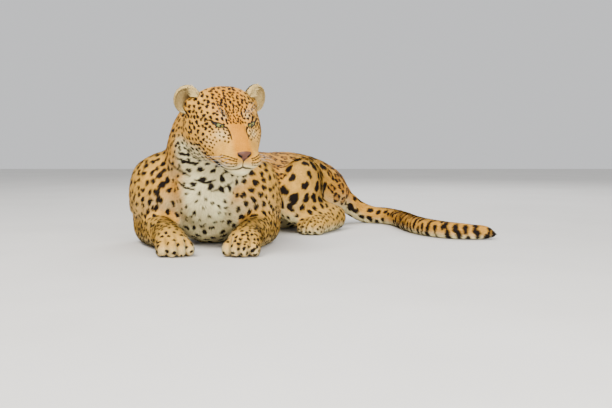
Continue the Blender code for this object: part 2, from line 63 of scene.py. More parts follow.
# %% The head's own axes
HEAD_YAW, HEAD_BOW, HEAD_ROLL = math.radians(26), math.radians(16), math.radians(-2)
SIDES = {"left": 1, "right": -1}


def middle_of(node):
    """The middle of a node's box at rest."""
    low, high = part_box(node)
    return (low + high) / 2


eye_middles = {side: middle_of("eye_" + side) for side in SIDES}
head_place = (eye_middles["left"] + eye_middles["right"]) / 2
HEAD = (
    Matrix.Translation(head_place)
    @ Matrix.Rotation(HEAD_YAW, 4, "Z")
    @ Matrix.Rotation(HEAD_BOW, 4, "X")
    @ Matrix.Rotation(HEAD_ROLL, 4, "Y")
)
TABLES_HEAD = np.array([0.086, -0.262, 0.329])  # the same point in the tables of the bones
SHIFT = np.array(head_place) - TABLES_HEAD
head_turn, head_shift = np.array(HEAD)[:3, :3], np.array(HEAD)[:3, 3]


def to_head(points):
    """Points of the room in the head's axes: their offset from its origin, turned back."""
    return (points - head_shift) @ head_turn


def from_head(points):
    """Points in the head's axes, carried into the room."""
    return np.asarray(points, float) @ head_turn.T + head_shift


print("between the eyes:", [round(v, 4) for v in head_place])

# %% [markdown]
# ## Tools for meshes worked out as arrays
# A surface here is an array of points and an array of faces. Small helpers put such arrays into a
# mesh and read a mesh back as arrays. Others make the two curves that shape everything below: an
# ease from 0 to 1 between two limits, and a bell that is 1 at a line and fades on both sides of it.

# %% Arrays to meshes and back
ROOM = bpy.context.scene.collection


def mesh_object(name, points, faces, smooth=True):
    """An object with these points (n, 3) and faces (m, corners), all faces of one size."""
    points, faces = np.asarray(points, np.float32), np.asarray(faces, np.int32)
    mesh = bpy.data.meshes.new(name)
    mesh.vertices.add(len(points))
    mesh.vertices.foreach_set("co", points.ravel())
    mesh.loops.add(faces.size)
    mesh.loops.foreach_set("vertex_index", faces.ravel())
    mesh.polygons.add(len(faces))
    starts = np.arange(0, faces.size, faces.shape[1], dtype=np.int32)
    mesh.polygons.foreach_set("loop_start", starts)
    mesh.update(calc_edges=True)
    mesh.polygons.foreach_set("use_smooth", np.full(len(faces), smooth))
    obj = bpy.data.objects.new(name, mesh)
    ROOM.objects.link(obj)
    return obj


def points_of(obj):
    """The object's points as an array (n, 3)."""
    flat = np.empty(len(obj.data.vertices) * 3)
    obj.data.vertices.foreach_get("co", flat)
    return flat.reshape(-1, 3)


def normals_of(obj):
    """The outward direction at each of its points, as an array (n, 3)."""
    flat = np.empty(len(obj.data.vertices) * 3)
    obj.data.vertex_normals.foreach_get("vector", flat)
    return flat.reshape(-1, 3)


def move_points(obj, points):
    """Puts the object's points at new places."""
    obj.data.vertices.foreach_set("co", np.asarray(points, np.float32).ravel())
    obj.data.update()


def raise_points(obj, rise):
    """Moves each point along its normal by a length, which presses it in where it is negative."""
    move_points(obj, points_of(obj) + normals_of(obj) * rise[:, None])


def keep_colour(obj, colours):
    """Stores a colour at each point of the mesh."""
    layer = obj.data.attributes.new("coat_colour", "FLOAT_COLOR", "POINT")
    rows = np.column_stack([colours, np.ones(len(colours))])
    layer.data.foreach_set("color", rows.astype(np.float32).ravel())


def keep_map(obj, name, places, faces):
    """Gives each corner of the faces its point's place on a map."""
    layer = obj.data.uv_layers.new(name=name)
    layer.data.foreach_set("uv", places[faces.ravel()].astype(np.float32).ravel())


def ease(low, high, values):
    """0 below low, 1 above high, and 3t^2 - 2t^3 of the share t of the way between."""
    t = np.clip((np.asarray(values, float) - low) / (high - low), 0, 1)
    return t * t * (3 - 2 * t)


def bell(distance, width):
    """exp(-(distance / width)^2): 1 where the distance is 0, a third at the width."""
    return np.exp(-((distance / width) ** 2))


def grid_faces(rows, columns, closed=False):
    """The faces of four over a grid of points, rows by columns, wrapped round where closed."""
    row, column = np.meshgrid(np.arange(rows - 1), np.arange(columns - (not closed)), indexing="ij")
    following = (column + 1) % columns
    corners = [row * columns + column, row * columns + following,
               (row + 1) * columns + following, (row + 1) * columns + column]
    return np.stack(corners, -1).reshape(-1, 4)


def unit(vectors):
    """Each vector at length 1."""
    return vectors / np.maximum(np.linalg.norm(vectors, axis=-1, keepdims=True), 1e-12)


def laid(ways, outward):
    """Each way laid flat at length 1: the share of it that points along the normal is taken off."""
    return unit(ways - outward * (ways * outward).sum(1, keepdims=True))


def smooth_rows(rows, steps):
    """Rows between the given ones, on Catmull-Rom curves through each column."""
    rows = np.array(rows, float)
    ends = np.vstack([2 * rows[0] - rows[1], rows, 2 * rows[-1] - rows[-2]])
    t = (np.arange(steps) / steps)[:, None, None]
    a, b, c, d = ends[:-3], ends[1:-2], ends[2:-1], ends[3:]
    spans = 0.5 * (2 * b + (c - a) * t + (2 * a - 5 * b + 4 * c - d) * t**2
                   + (3 * b - a - 3 * c + d) * t**3)
    return np.vstack([spans.transpose(1, 0, 2).reshape(-1, rows.shape[1]), rows[-1:]])


def surface_tree(obj):
    """A search tree over the object's faces, to find the surface point nearest to another."""
    bm = bmesh.new()
    bm.from_mesh(obj.data)
    tree = BVHTree.FromBMesh(bm)
    bm.free()
    return tree


def onto(tree, points):
    """Each point brought to the nearest place of a surface."""
    return np.array([tree.find_nearest(Vector(point))[0] for point in points])


# %% [markdown]
# ## One skin for the whole animal
# The frame's solids meet at thin cuts, because a person names a head, a neck and a thigh, but the
# real hide has no seams. The solids are merged, a ball fills each eye socket, and one voxel grid
# draws a single surface over all of it. Then the surface is smoothed, its face and toes are
# divided finer, and every point is drawn in by the depth of the coat that will grow there.

# %% Merge the flesh and draw one surface over it
SKIN_VOXEL, SKIN_ROUNDS = 0.0065, 3
EAR_VOXEL, EAR_ROUNDS = 0.0014, 5
SWELL = 0.0003  # closes the cuts between the solids
SOCKET_BALL = 0.0172


def joined(nodes, balls=()):
    """The merged meshes of some nodes, slightly swollen, with balls at some places."""
    bm = bmesh.new()
    for name in nodes:
        bm.from_mesh(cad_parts[name].data)
    bmesh.ops.remove_doubles(bm, verts=bm.verts, dist=0.00002)
    bm.normal_update()
    for vert in bm.verts:
        vert.co += vert.normal * SWELL
    for place, radius in balls:
        bmesh.ops.create_uvsphere(
            bm, u_segments=32, v_segments=20, radius=radius, matrix=Matrix.Translation(place))
    mesh = bpy.data.meshes.new("flesh")
    bm.to_mesh(mesh)
    bm.free()
    obj = bpy.data.objects.new("flesh", mesh)
    ROOM.objects.link(obj)
    return obj


def remeshed(obj, voxel, rounds):
    """The object as one voxel surface, smoothed some rounds."""
    wrap = obj.modifiers.new("wrap", "REMESH")
    wrap.mode, wrap.voxel_size = "VOXEL", voxel
    even = obj.modifiers.new("even", "SMOOTH")
    even.factor, even.iterations = 0.5, rounds
    graph = bpy.context.evaluated_depsgraph_get()
    mesh = bpy.data.meshes.new_from_object(obj.evaluated_get(graph))
    obj.modifiers.clear()
    obj.data = mesh
    return obj


body_nodes = [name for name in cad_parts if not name.startswith(("eye", "ear"))]
sockets = [(place, SOCKET_BALL) for place in eye_middles.values()]
skin = remeshed(joined(body_nodes, sockets), SKIN_VOXEL, SKIN_ROUNDS)
skin.name = "skin"
print("skin points:", len(skin.data.vertices))

# %% Divide the face finer, the muzzle and lips finer still, and the toes
FINER = (  # boxes in the head's axes: half width, rear end, lowest and highest
    (0.100, 0.060, -0.125, 0.090),  # face
    (0.064, 0.012, -0.108, 0.030),  # muzzle
    (0.050, -0.040, -0.106, -0.042),  # lips
)
PAWS = [  # wrist and middle of the toes on the floor, in the tables' frame, and a toe's width
    ((0.118, -0.140), (0.102, -0.288), 0.0238), ((-0.100, -0.140), (-0.056, -0.288), 0.0238),
    ((0.328, 0.372), (0.272, 0.262), 0.0200), ((0.068, 0.605), (-0.038, 0.530), 0.0200),
]
TOES_BACK, TOES_AHEAD, PAW_HALF_WIDTH, PAW_HEIGHT = 0.040, 0.050, 0.052, 0.070


def divide(obj, wanted):
    """Cuts each edge in two whose ends are both wanted."""
    bm = bmesh.new()
    bm.from_mesh(obj.data)
    bm.verts.ensure_lookup_table()
    edges = [e for e in bm.edges if wanted[e.verts[0].index] and wanted[e.verts[1].index]]
    bmesh.ops.subdivide_edges(bm, edges=edges, cuts=1, use_grid_fill=True, smooth=0.5)
    bm.to_mesh(obj.data)
    bm.free()


def in_box(points, half_width, rear, low, high):
    """True for the points inside a box in the head's axes, which is open to the front."""
    x, y, z = to_head(points).T
    return (abs(x) < half_width) & (y < rear) & (z > low) & (z < high)


def toe_axes(points, wrist, tip):
    """How far each point is ahead of the middle of the toes and to their side, and if it is near."""
    way = unit(np.array(tip) - wrist)
    offset = points[:, :2] - SHIFT[:2] - tip
    ahead, aside = offset @ way, offset @ np.array([way[1], -way[0]])
    near = (ahead < TOES_AHEAD) & (abs(aside) < PAW_HALF_WIDTH) & (points[:, 2] < PAW_HEIGHT)
    return ahead, aside, near


def on_toes(points):
    """True for the points over the toes of any paw."""
    chosen = np.zeros(len(points), bool)
    for wrist, tip, _ in PAWS:
        ahead, _, near = toe_axes(points, wrist, tip)
        chosen |= (ahead > -TOES_BACK) & near
    return chosen


for box in FINER:
    divide(skin, in_box(points_of(skin), *box))
divide(skin, on_toes(points_of(skin)))
print("skin points with finer face and toes:", len(skin.data.vertices))

# %% [markdown]
# ## How deep the coat is
# A leopard's coat is short: some 12 mm on the back, more on the belly, and next to nothing on the
# muzzle and feet. Hair lies flat, so the skin is only a few millimetres inside the outline. The
# depth is a number at each point, and it changes smoothly from the face to the neck and down
# each leg.

# %% Draw the skin inwards
SKULL_MIDDLE = (0, 0.03, -0.03)


def headness(points):
    """1 on the head, easing to 0 down the neck."""
    local = to_head(points)
    far = np.linalg.norm(local - SKULL_MIDDLE, axis=1)
    return (1 - ease(0.10, 0.16, local[:, 1])) * (1 - ease(0.16, 0.19, far))


def coat_depth(points):
    """Coat depth by place: 1 mm on the face, 2 on the head, 4 on the body, 2.5 on the feet."""
    head = headness(points)
    face = head * (1 - ease(-0.01, 0.05, to_head(points)[:, 1]))
    low = 1 - ease(0.02, 0.09, points[:, 2])
    return 0.0042 - 0.0022 * head - 0.0009 * face - 0.0017 * low * (1 - head)


depth = coat_depth(points_of(skin))
raise_points(skin, -depth)
print("coat depth, mm: %.1f to %.1f" % (1000 * depth.min(), 1000 * depth.max()))

# %% [markdown]
# ## The clefts between the toes
# A cat stands on four toes, with a cleft between each two that runs back over the paw and fades.
# The voxel surface only hints at them, so they are pressed in: the depth falls off with the
# distance from three lines on each paw.

# %% Press the clefts
CLEFT_DEPTH, CLEFT_WIDTH = 0.0042, 0.0030
CLEFT_END, CLEFT_FULL = -0.034, -0.004  # ahead of the middle of the toes


def cleft_share(points):
    """A bell about the nearest line between toes, which fades back over the paw."""
    share = np.zeros(len(points))
    for wrist, tip, toe_width in PAWS:
        ahead, aside, near = toe_axes(points, wrist, tip)
        gap = np.abs(aside[:, None] - toe_width * np.array([-1, 0, 1])).min(1)
        deep = bell(gap, CLEFT_WIDTH) * ease(CLEFT_END, CLEFT_FULL, ahead) * near
        share = np.maximum(share, deep)
    return share


clefts = cleft_share(points_of(skin))
raise_points(skin, -CLEFT_DEPTH * clefts)
print("points in the clefts:", int((clefts > 0.3).sum()))

# %% [markdown]
# ## The mouth, the nose and the folds of the face
# A voxel surface is too soft for the sharp parts of a face. They are pressed into it: the line of
# the mouth with a lip on each side, the furrow under the nose, the nostrils, and the raised pad
# of bare leather. The bones and folds of the face are deepened too. Each is a bump whose height
# falls off with the distance from its line or middle.

# %% Where the features of the face are
MOUTH = [(0.0, -0.080, -0.089), (0.017, -0.080, -0.095), (0.036, -0.069, -0.097),
         (0.051, -0.046, -0.092), (0.061, -0.017, -0.082)]
PHILTRUM = [(0.0, -0.089, -0.067), (0.0, -0.087, -0.078), (0.0, -0.081, -0.089)]
MOUTH_SECTION = ((-0.0026, 0.0, 0.0015), (0.0008, 0.0036, 0.0016))  # height, distance and width
PHILTRUM_DEPTH, PHILTRUM_WIDTH = 0.0020, 0.0014
NOSTRIL, NOSTRIL_WIDE, NOSTRIL_HIGH = (0.0118, -0.0850, -0.0590), 0.0056, 0.0034
NOSTRIL_DEPTH, NOSTRIL_SLANT, NOSTRIL_INWARD = 0.0060, 0.35, (0.25, 1, 0.1)
PAD_TOP, PAD_FOOT, PAD_HEIGHT = -0.0465, -0.0730, 0.0011
PAD_HALF_WIDTH, PAD_FOOT_HALF_WIDTH = 0.0185, 0.0030
FORMS = [  # middle and reach in the head's axes, and height in mm, on both sides of the face
    ((0.031, -0.010, 0.019), (0.017, 0.020, 0.0075), 3.4),  # brow over the eye
    ((0.0235, -0.030, -0.010), (0.0065, 0.020, 0.014), -3.6),  # hollow beside the bridge
    ((0.0, -0.050, -0.025), (0.012, 0.040, 0.030), 1.6),  # crest of the bridge
    ((0.027, -0.074, -0.076), (0.014, 0.020, 0.012), 3.4),  # whisker pad
    ((0.046, -0.046, -0.060), (0.0075, 0.012, 0.020), -3.4),  # fold behind the pad
    ((0.062, -0.002, -0.027), (0.015, 0.022, 0.010), 2.8),  # cheek bone
    ((0.050, -0.018, -0.012), (0.014, 0.014, 0.0055), -1.6),  # fold under the lower lid
    ((0.0, 0.015, 0.045), (0.0055, 0.035, 0.030), -2.0),  # furrow up the forehead
    ((0.0, -0.078, -0.104), (0.016, 0.016, 0.007), 1.8),  # chin
]


def mirrored(rows):
    """The same places on the other side of the head: x becomes -x."""
    return [(-x, y, z) for x, y, z in rows]


def distance_to(points, line):
    """How far each point is from the nearest point of a line given as many points."""
    nearest = np.full(len(points), np.inf)
    for start in range(0, len(points), 20000):
        part = points[start:start + 20000, None, :] - line[None]
        nearest[start:start + 20000] = np.sqrt((part**2).sum(-1)).min(1)
    return nearest


def bump_at(local, middle, reach):
    """1 at a place of the head or its mirror image, falling off as a bell along each axis."""
    folded = np.column_stack([abs(local[:, 0]), local[:, 1:]])
    return np.exp(-(((folded - middle) / reach) ** 2).sum(1))


def pad_half_width(z):
    """Half the width of the nose's pad at a height, easing from its foot out to its top."""
    share = ease(PAD_FOOT, PAD_TOP - 0.007, z)
    return PAD_FOOT_HALF_WIDTH + (PAD_HALF_WIDTH - PAD_FOOT_HALF_WIDTH) * share


def pad_share(local):
    """1 on the bare pad of the nose: a shield, wide at its rounded top and narrow at its foot."""
    x, y, z = local.T
    top = PAD_TOP - 14 * x**2
    inside = np.minimum(pad_half_width(z) - abs(x), np.minimum(top - z, z - PAD_FOOT))
    return ease(-0.0007, 0.0007, inside) * (y < -0.066)


print("bones, folds and hollows of the face:", len(FORMS))

# %% Press the features into the muzzle
skin_tree = surface_tree(skin)
mouth_line = np.vstack([
    onto(skin_tree, from_head(smooth_rows(rows, 10))) for rows in (MOUTH, mirrored(MOUTH))])
philtrum_line = onto(skin_tree, from_head(smooth_rows(PHILTRUM, 10)))
points, outward = points_of(skin), normals_of(skin)
local = to_head(points)
from_mouth = distance_to(points, mouth_line)
rise = sum(height * bell(from_mouth - place, width) for height, place, width in MOUTH_SECTION)
rise -= PHILTRUM_DEPTH * bell(distance_to(points, philtrum_line), PHILTRUM_WIDTH)
rise += PAD_HEIGHT * pad_share(local)
for middle, reach, height in FORMS:
    rise += height / 1000 * bump_at(local, middle, reach)
points = points + outward * rise[:, None]
for x_sign in SIDES.values():
    across = (local[:, 0] - x_sign * NOSTRIL[0]) * x_sign
    up = local[:, 2] - NOSTRIL[2] - NOSTRIL_SLANT * across
    hollow = 1 - (across / NOSTRIL_WIDE) ** 2 - (up / NOSTRIL_HIGH) ** 2
    depth = NOSTRIL_DEPTH * np.sqrt(np.clip(hollow, 0, 1)) * (local[:, 1] < -0.062)
    inward = head_turn @ (np.array(NOSTRIL_INWARD) * (-x_sign, 1, 1))
    points = points + depth[:, None] * inward
move_points(skin, points)
print("deepest press, mm: %.1f" % (1000 * -rise.min()))

# %% [markdown]
# ## Hollows for the eyes, and the ears
# The eyeballs sit behind lids, so the skin in front of each is pushed back until the ball hides
# it, and the lids are made further on as pieces of their own. The ears are thin cups, too thin
# for the body's grid, so they get a finer one, and their roots are sunk into the scalp.

# %% The axes and the height of a lid's opening
LID_WIDTH, LID_ABOVE, LID_BELOW = 0.0265, 0.0032, 0.0050
LID_SLANT, LID_TURN, LID_OUT = math.radians(17), math.radians(20), 0.038


def lid_frame(x_sign):
    """The axes of one lid's opening: x along it, y into the head, z up."""
    return (
        HEAD
        @ Matrix.Translation((x_sign * LID_OUT, 0, 0))
        @ Matrix.Rotation(x_sign * LID_TURN, 4, "Z")
        @ Matrix.Rotation(-x_sign * LID_SLANT, 4, "Y")
    )


def into(matrix, points):
    """Points of the room in the axes of a matrix."""
    matrix = np.array(matrix)
    return (points - matrix[:3, 3]) @ matrix[:3, :3]


def out_of(matrix, points):
    """Points in the axes of a matrix, carried into the room."""
    matrix = np.array(matrix)
    return np.asarray(points, float) @ matrix[:3, :3].T + matrix[:3, 3]


def half_open(x, z, wider=0.0, higher=0.0):
    """Half the height of a lid's opening at x, above or below: h (1 - (2x / w)^2)."""
    height = np.where(z > 0, LID_ABOVE, LID_BELOW) + higher
    return height * np.clip(1 - (2 * x / (LID_WIDTH + wider)) ** 2, 0, 1)


print("opening of a lid at its middle, mm: %.1f" % (1000 * (LID_ABOVE + LID_BELOW)))

# %% Hollow the sockets
SOCKET_DEPTH, SOCKET_REACH = 0.0134, 0.024

points = points_of(skin)
for x_sign in SIDES.values():
    axes = lid_frame(x_sign)
    seen = into(axes, points)
    x, y, z = seen.T
    distance = np.linalg.norm(seen, axis=1)
    inside = (abs(z) < half_open(x, z, 0.006, 0.002)) & (y < 0) & (distance < SOCKET_REACH)
    pushed = seen * np.minimum(1, SOCKET_DEPTH / distance)[:, None]
    points = out_of(axes, np.where(inside[:, None], pushed, seen))
    print("points in a socket:", int(inside.sum()))
move_points(skin, points)

# %% Give the ears a finer surface, and sink their roots
EAR_FUR, SINK, SINK_REACH = 0.0007, 0.0050, 0.0060
EAR_ROOT = (0.05, 0.09, -0.02)  # in the skull, in the head's axes

skin_tree = surface_tree(skin)
ears = {}
for side in SIDES:
    cup = remeshed(joined(["ear_" + side]), EAR_VOXEL, EAR_ROUNDS)
    cup_points = points_of(cup)
    cup_points = cup_points - normals_of(cup) * EAR_FUR
    gap = np.linalg.norm(onto(skin_tree, cup_points) - cup_points, axis=1)
    inward = unit(from_head([np.array(EAR_ROOT) * (SIDES[side], 1, 1)]) - cup_points)
    cup_points = cup_points + inward * (SINK * (1 - ease(0, SINK_REACH, gap)))[:, None]
    move_points(cup, cup_points)
    cup.name = "ear_skin_" + side
    ears[side] = cup
    print("ear", side, "points:", len(cup_points))

# %% [markdown]
# ## The bones, which guide the coat
# Hair lies along the body: back from the nose, down the neck, along the trunk, down each leg and
# out along the tail. One list of bones, as rows of a middle and a radius from root to tip, gives
# that direction everywhere, and it also says which part of the body a point belongs to. Near a
# joint the bones are blended by how near they are, measured in their own radii.

# %% Bones from root to tip
def fore_bones(elbow_x, wrist_x, toe_x):
    """Upper and lower bone of a foreleg that lies forward on the floor."""
    upper = [(0.56 * elbow_x, -0.030, 0.215, 0.060), (0.78 * elbow_x, -0.015, 0.165, 0.072),
             (0.90 * elbow_x, 0.025, 0.122, 0.068), (elbow_x, 0.085, 0.075, 0.050)]
    lower = [(elbow_x, 0.095, 0.050, 0.044), (0.45 * elbow_x + 0.55 * wrist_x, -0.050, 0.045, 0.044),
             (wrist_x, -0.140, 0.041, 0.040), (0.4 * wrist_x + 0.6 * toe_x, -0.235, 0.033, 0.040),
             (toe_x, -0.305, 0.018, 0.030)]
    return upper, lower


BONES = {
    "head": [tuple(from_head([place])[0] - SHIFT) + (radius,) for place, radius in (
        ((0, -0.085, -0.060), 0.026), ((0, -0.040, -0.062), 0.050), ((0, 0.020, -0.045), 0.080),
        ((0, 0.080, -0.030), 0.095), ((0, 0.130, -0.030), 0.085))],
    "neck": [(0.040, -0.150, 0.325, 0.090), (0.014, -0.090, 0.282, 0.108),
             (0.000, 0.000, 0.215, 0.108), (0.000, 0.110, 0.170, 0.080)],
    "trunk": [(0.000, -0.105, 0.150, 0.090), (0.000, 0.000, 0.155, 0.132), (0.010, 0.180, 0.142, 0.140),
              (0.075, 0.375, 0.128, 0.130), (0.205, 0.525, 0.124, 0.115), (0.335, 0.630, 0.106, 0.080)],
    "tail": [(0.345, 0.640, 0.098, 0.044), (0.385, 0.668, 0.085, 0.038), (0.430, 0.690, 0.052, 0.034),
             (0.480, 0.686, 0.031, 0.032), (0.527, 0.652, 0.029, 0.031), (0.558, 0.585, 0.028, 0.030),
             (0.573, 0.500, 0.028, 0.030), (0.583, 0.410, 0.028, 0.030), (0.598, 0.320, 0.028, 0.029),
             (0.625, 0.235, 0.027, 0.028), (0.667, 0.168, 0.026, 0.027), (0.722, 0.134, 0.024, 0.025),
             (0.775, 0.140, 0.021, 0.021), (0.810, 0.150, 0.016, 0.014)],
    "haunch_left": [(0.262, 0.520, 0.165, 0.070), (0.250, 0.395, 0.138, 0.080),
                    (0.212, 0.295, 0.105, 0.055)],
    "shank_left": [(0.205, 0.300, 0.070, 0.045), (0.285, 0.372, 0.058, 0.048),
                   (0.366, 0.452, 0.040, 0.036)],
    "foot_left": [(0.366, 0.452, 0.036, 0.034), (0.328, 0.372, 0.032, 0.035),
                  (0.265, 0.245, 0.020, 0.030)],
    "haunch_right": [(0.200, 0.600, 0.165, 0.070), (0.095, 0.552, 0.138, 0.080),
                     (0.005, 0.475, 0.105, 0.055)],
    "shank_right": [(0.005, 0.480, 0.070, 0.045), (0.070, 0.570, 0.058, 0.048),
                    (0.140, 0.652, 0.040, 0.036)],
    "foot_right": [(0.140, 0.652, 0.036, 0.034), (0.068, 0.605, 0.032, 0.035),
                   (-0.050, 0.520, 0.020, 0.030)],
}
BONES["arm_left"], BONES["forearm_left"] = fore_bones(0.152, 0.118, 0.102)
BONES["arm_right"], BONES["forearm_right"] = fore_bones(-0.184, -0.100, -0.056)
BONE_NAMES = list(BONES)
print("bones:", len(BONES))

# %% How near a point is to each bone
BONE_STEPS = 8
BONE_BLEND = 0.22  # in radii: how softly one bone gives way to the next


def bone_samples(name):
    """Middles, radii and tangents at close steps along a bone, and the share of its length."""
    rows = smooth_rows(BONES[name], BONE_STEPS)
    middles = rows[:, :3] + SHIFT
    tangents = unit(np.gradient(middles, axis=0))
    run = np.concatenate([[0], np.cumsum(np.linalg.norm(np.diff(middles, axis=0), axis=1))])
    return middles, rows[:, 3], tangents, run / run[-1]


def nearest_on_bone(points, name):
    """For each point: its distance in radii, and the tangent, share of length and middle there."""
    middles, radii, tangents, shares = bone_samples(name)
    reach = np.linalg.norm(points[:, None] - middles[None], axis=2) / radii
    best = reach.argmin(1)
    return reach[np.arange(len(points)), best], tangents[best], shares[best], middles[best]


def bone_blend(points):
    """Weights (points, bones) that add to 1, the blended tangent and each bone's share of length."""
    reaches, tangents, shares = [], [], []
    for name in BONE_NAMES:
        reach, tangent, share, _ = nearest_on_bone(points, name)
        reaches.append(reach)
        tangents.append(tangent)
        shares.append(share)
    reaches = np.array(reaches)
    weights = bell(reaches - reaches.min(0), BONE_BLEND)
    weights /= weights.sum(0)
    blended = (weights[:, :, None] * np.array(tangents)).sum(0)
    return weights.T, blended, np.array(shares).T


def by_bone(table):
    """A table's rows in the order of the bones, left and right alike."""
    return np.array([table[name.split("_")[0]] for name in BONE_NAMES])


def part_share(weights, *words):
    """How much of each point belongs to the bones whose names hold one of these words."""
    return weights[:, [any(word in name for word in words) for name in BONE_NAMES]].sum(1)


print("samples along the tail:", len(bone_samples("tail")[1]))

# %% [markdown]
# ## Which way the hair lies
# On the head the coat runs back from the tip of the nose, over the brow to the nape and along the
# cheeks. Elsewhere it follows the blended bones. Both directions are laid into the surface by
# taking away the share that points along its normal.

# %% The lie of the coat at each point of the skin
NOSE_TIP = (0, -0.105, -0.062)
NOSE_PULL, DROOP = 1.2, (0, 0, -0.12)


def lie_of_coat(points, outward, tangent):
    """Unit direction in the surface: away from the nose on the head, along the bones elsewhere."""
    head = headness(points)[:, None]
    away = unit(points - from_head([NOSE_TIP]))
    return laid(unit(tangent) * (1 - head) + away * head * NOSE_PULL + DROOP, outward)


skin_points, skin_normals = points_of(skin), normals_of(skin)
skin_weights, skin_tangent, skin_share = bone_blend(skin_points)
skin_lie = lie_of_coat(skin_points, skin_normals, skin_tangent)
nearest_bone = skin_weights.argmax(1)
print("points by bone:", {name: int((nearest_bone == k).sum()) for k, name in enumerate(BONE_NAMES)})

# %% [markdown]
# ## The ground colour
# Under its spots a leopard is golden on the back, the brow and the bridge of the nose, paler and
# sandier on the legs and flanks, and white on the belly, the chest, the throat, the chin and the
# inner sides of the legs. Each share is an easing of where a point is and how it faces.

# %% Gold, sand and white
GOLD, SAND = np.array([0.700, 0.275, 0.012]), np.array([0.760, 0.450, 0.090])
WHITE, BLACK = np.array([0.900, 0.800, 0.440]), np.array([0.012, 0.008, 0.006])
TAN_FILL = np.array([0.400, 0.165, 0.025])
BONE_SAND = {"head": 0.35, "neck": 0.45, "trunk": 0.30, "tail": 0.45, "haunch": 0.75, "shank": 0.8,
             "foot": 0.9, "arm": 0.70, "forearm": 0.85}
PALE = (  # middle and reach in the head's axes, and how pale
    ((0.040, -0.024, -0.022), (0.016, 0.02, 0.011), 0.42),  # under the eye
    ((0.058, 0.000, -0.040), (0.020, 0.03, 0.014), 0.22),  # cheek
    ((0.030, -0.005, 0.018), (0.010, 0.02, 0.008), 0.45),  # over the eye
)


def mixed(colours, colour, share):
    """Each colour moved towards another by its share."""
    return colours + (np.asarray(colour) - colours) * np.asarray(share)[:, None]


print("gold, sand and white:", GOLD, SAND, WHITE)

# %% Lay the ground colour
def ground_colour(points, outward, weights):
    """Gold to sand by part of the body, then white on what faces the floor or the midline, and painted
    shade in the clefts between the toes.
    """
    x, y, z = (points - SHIFT).T
    colours = mixed(np.tile(GOLD, (len(points), 1)), SAND, weights @ by_bone(BONE_SAND))
    legs, arms = part_share(weights, "arm", "shank", "foot"), part_share(weights, "arm")
    under = ease(0.10, -0.60, outward[:, 2]) * (1 - 0.75 * arms)
    under = under * (1 - 0.8 * part_share(weights, "neck"))
    middle = 0.03 * ease(-0.2, -0.3, y)
    chest = ease(-0.055, -0.115, y) * ease(0.080, 0.035, abs(x - middle - 0.006))
    chest = chest * ease(0.300, 0.270, z) * (0.45 + 0.55 * ease(0.235, 0.165, z))
    inner = legs * ease(0.45, 0.95, -outward[:, 0] * np.sign(x)) * (y < 0.1)
    toes = legs * ease(0.040, 0.015, z) * 0.5
    white = np.clip(np.maximum.reduce([under * 0.9, chest * (1 - legs), inner * 0.7, toes]), 0, 1)
    body = mixed(colours, WHITE, white)
    from_tail_tip = np.linalg.norm(points - SHIFT - BONES["tail"][-1][:3], axis=1)
    body = mixed(body, BLACK * 2, ease(0.045, 0.030, from_tail_tip))
    local = to_head(points)
    hx, hy, hz = local.T
    bridge = ease(0.030, 0.014, abs(hx)) * ease(0.02, -0.01, hy) * ease(-0.075, -0.050, hz)
    brow = ease(0.062, 0.030, abs(hx)) * ease(-0.01, 0.01, hz) * ease(0.11, 0.06, hy)
    face = np.tile(0.45 * GOLD + 0.55 * SAND, (len(points), 1))
    face = mixed(face, GOLD * 0.92, np.maximum(bridge, brow * 0.75))
    pale = np.maximum.reduce([
        *(bump_at(local, middle, reach) * share for middle, reach, share in PALE),
        ease(-0.070, -0.088, hz) * ease(-0.02, -0.06, hy) * 0.75,
        ease(-0.090, -0.100, hz) * 0.95,
        ease(-0.050, -0.085, hz) * ease(-0.01, 0.03, hy) * 0.85,
    ])
    face = mixed(face, WHITE, pale * (1 - bridge * 0.6))
    head = headness(points)[:, None]
    # The clefts between the toes are darkened by up to half: painted shade.
    return (body * (1 - head) + face * head) * (1 - 0.5 * cleft_share(points))[:, None]


skin_ground = ground_colour(skin_points, skin_normals, skin_weights)
print("mean ground colour:", skin_ground.mean(0).round(3))

# %% [markdown]
# ## The plan of the spots
# No two leopards share a pattern, so this one is drawn from a seeded draw that keeps the rules of
# the species: dense small spots on the brow and cheeks, larger ones on the neck and forelegs,
# rosettes with a darker middle on the back and flanks, big solid blotches on the haunch and belly,
# and blotches that close into bands on the tail. The spacing and the size are numbers at each
# point, and spots are dealt out in random order, each one barring others nearer than the spacing.

# %% Spacing and size of the spots
SPOT_PLAN = {  # spacing and radius in millimetres, at the root and at the tip of each bone
    "head": (13.0, 4.9, 13.0, 4.9), "neck": (16.5, 6.0, 21.0, 7.2),
    "trunk": (32.0, 12.0, 43.0, 17.0), "tail": (31.0, 10.5, 30.0, 10.5),
    "haunch": (41.0, 14.5, 41.0, 15.0), "shank": (22.0, 6.8, 20.0, 6.2),
    "foot": (17.0, 5.4, 13.5, 4.2), "arm": (18.0, 6.6, 18.0, 6.6), "forearm": (17.0, 6.6, 14.0, 5.2),
}
BROW_SPOTS, UNDER_EYE_SPOTS = (0.0098, 0.0043), (0.0090, 0.0028)  # spacing and radius in metres
BETWEEN_SPOTS, CHEST_SPOTS, RIDGE_SPOTS = (0.0074, 0.0030), (0.0225, 0.0055), (0.0310, 0.0125)


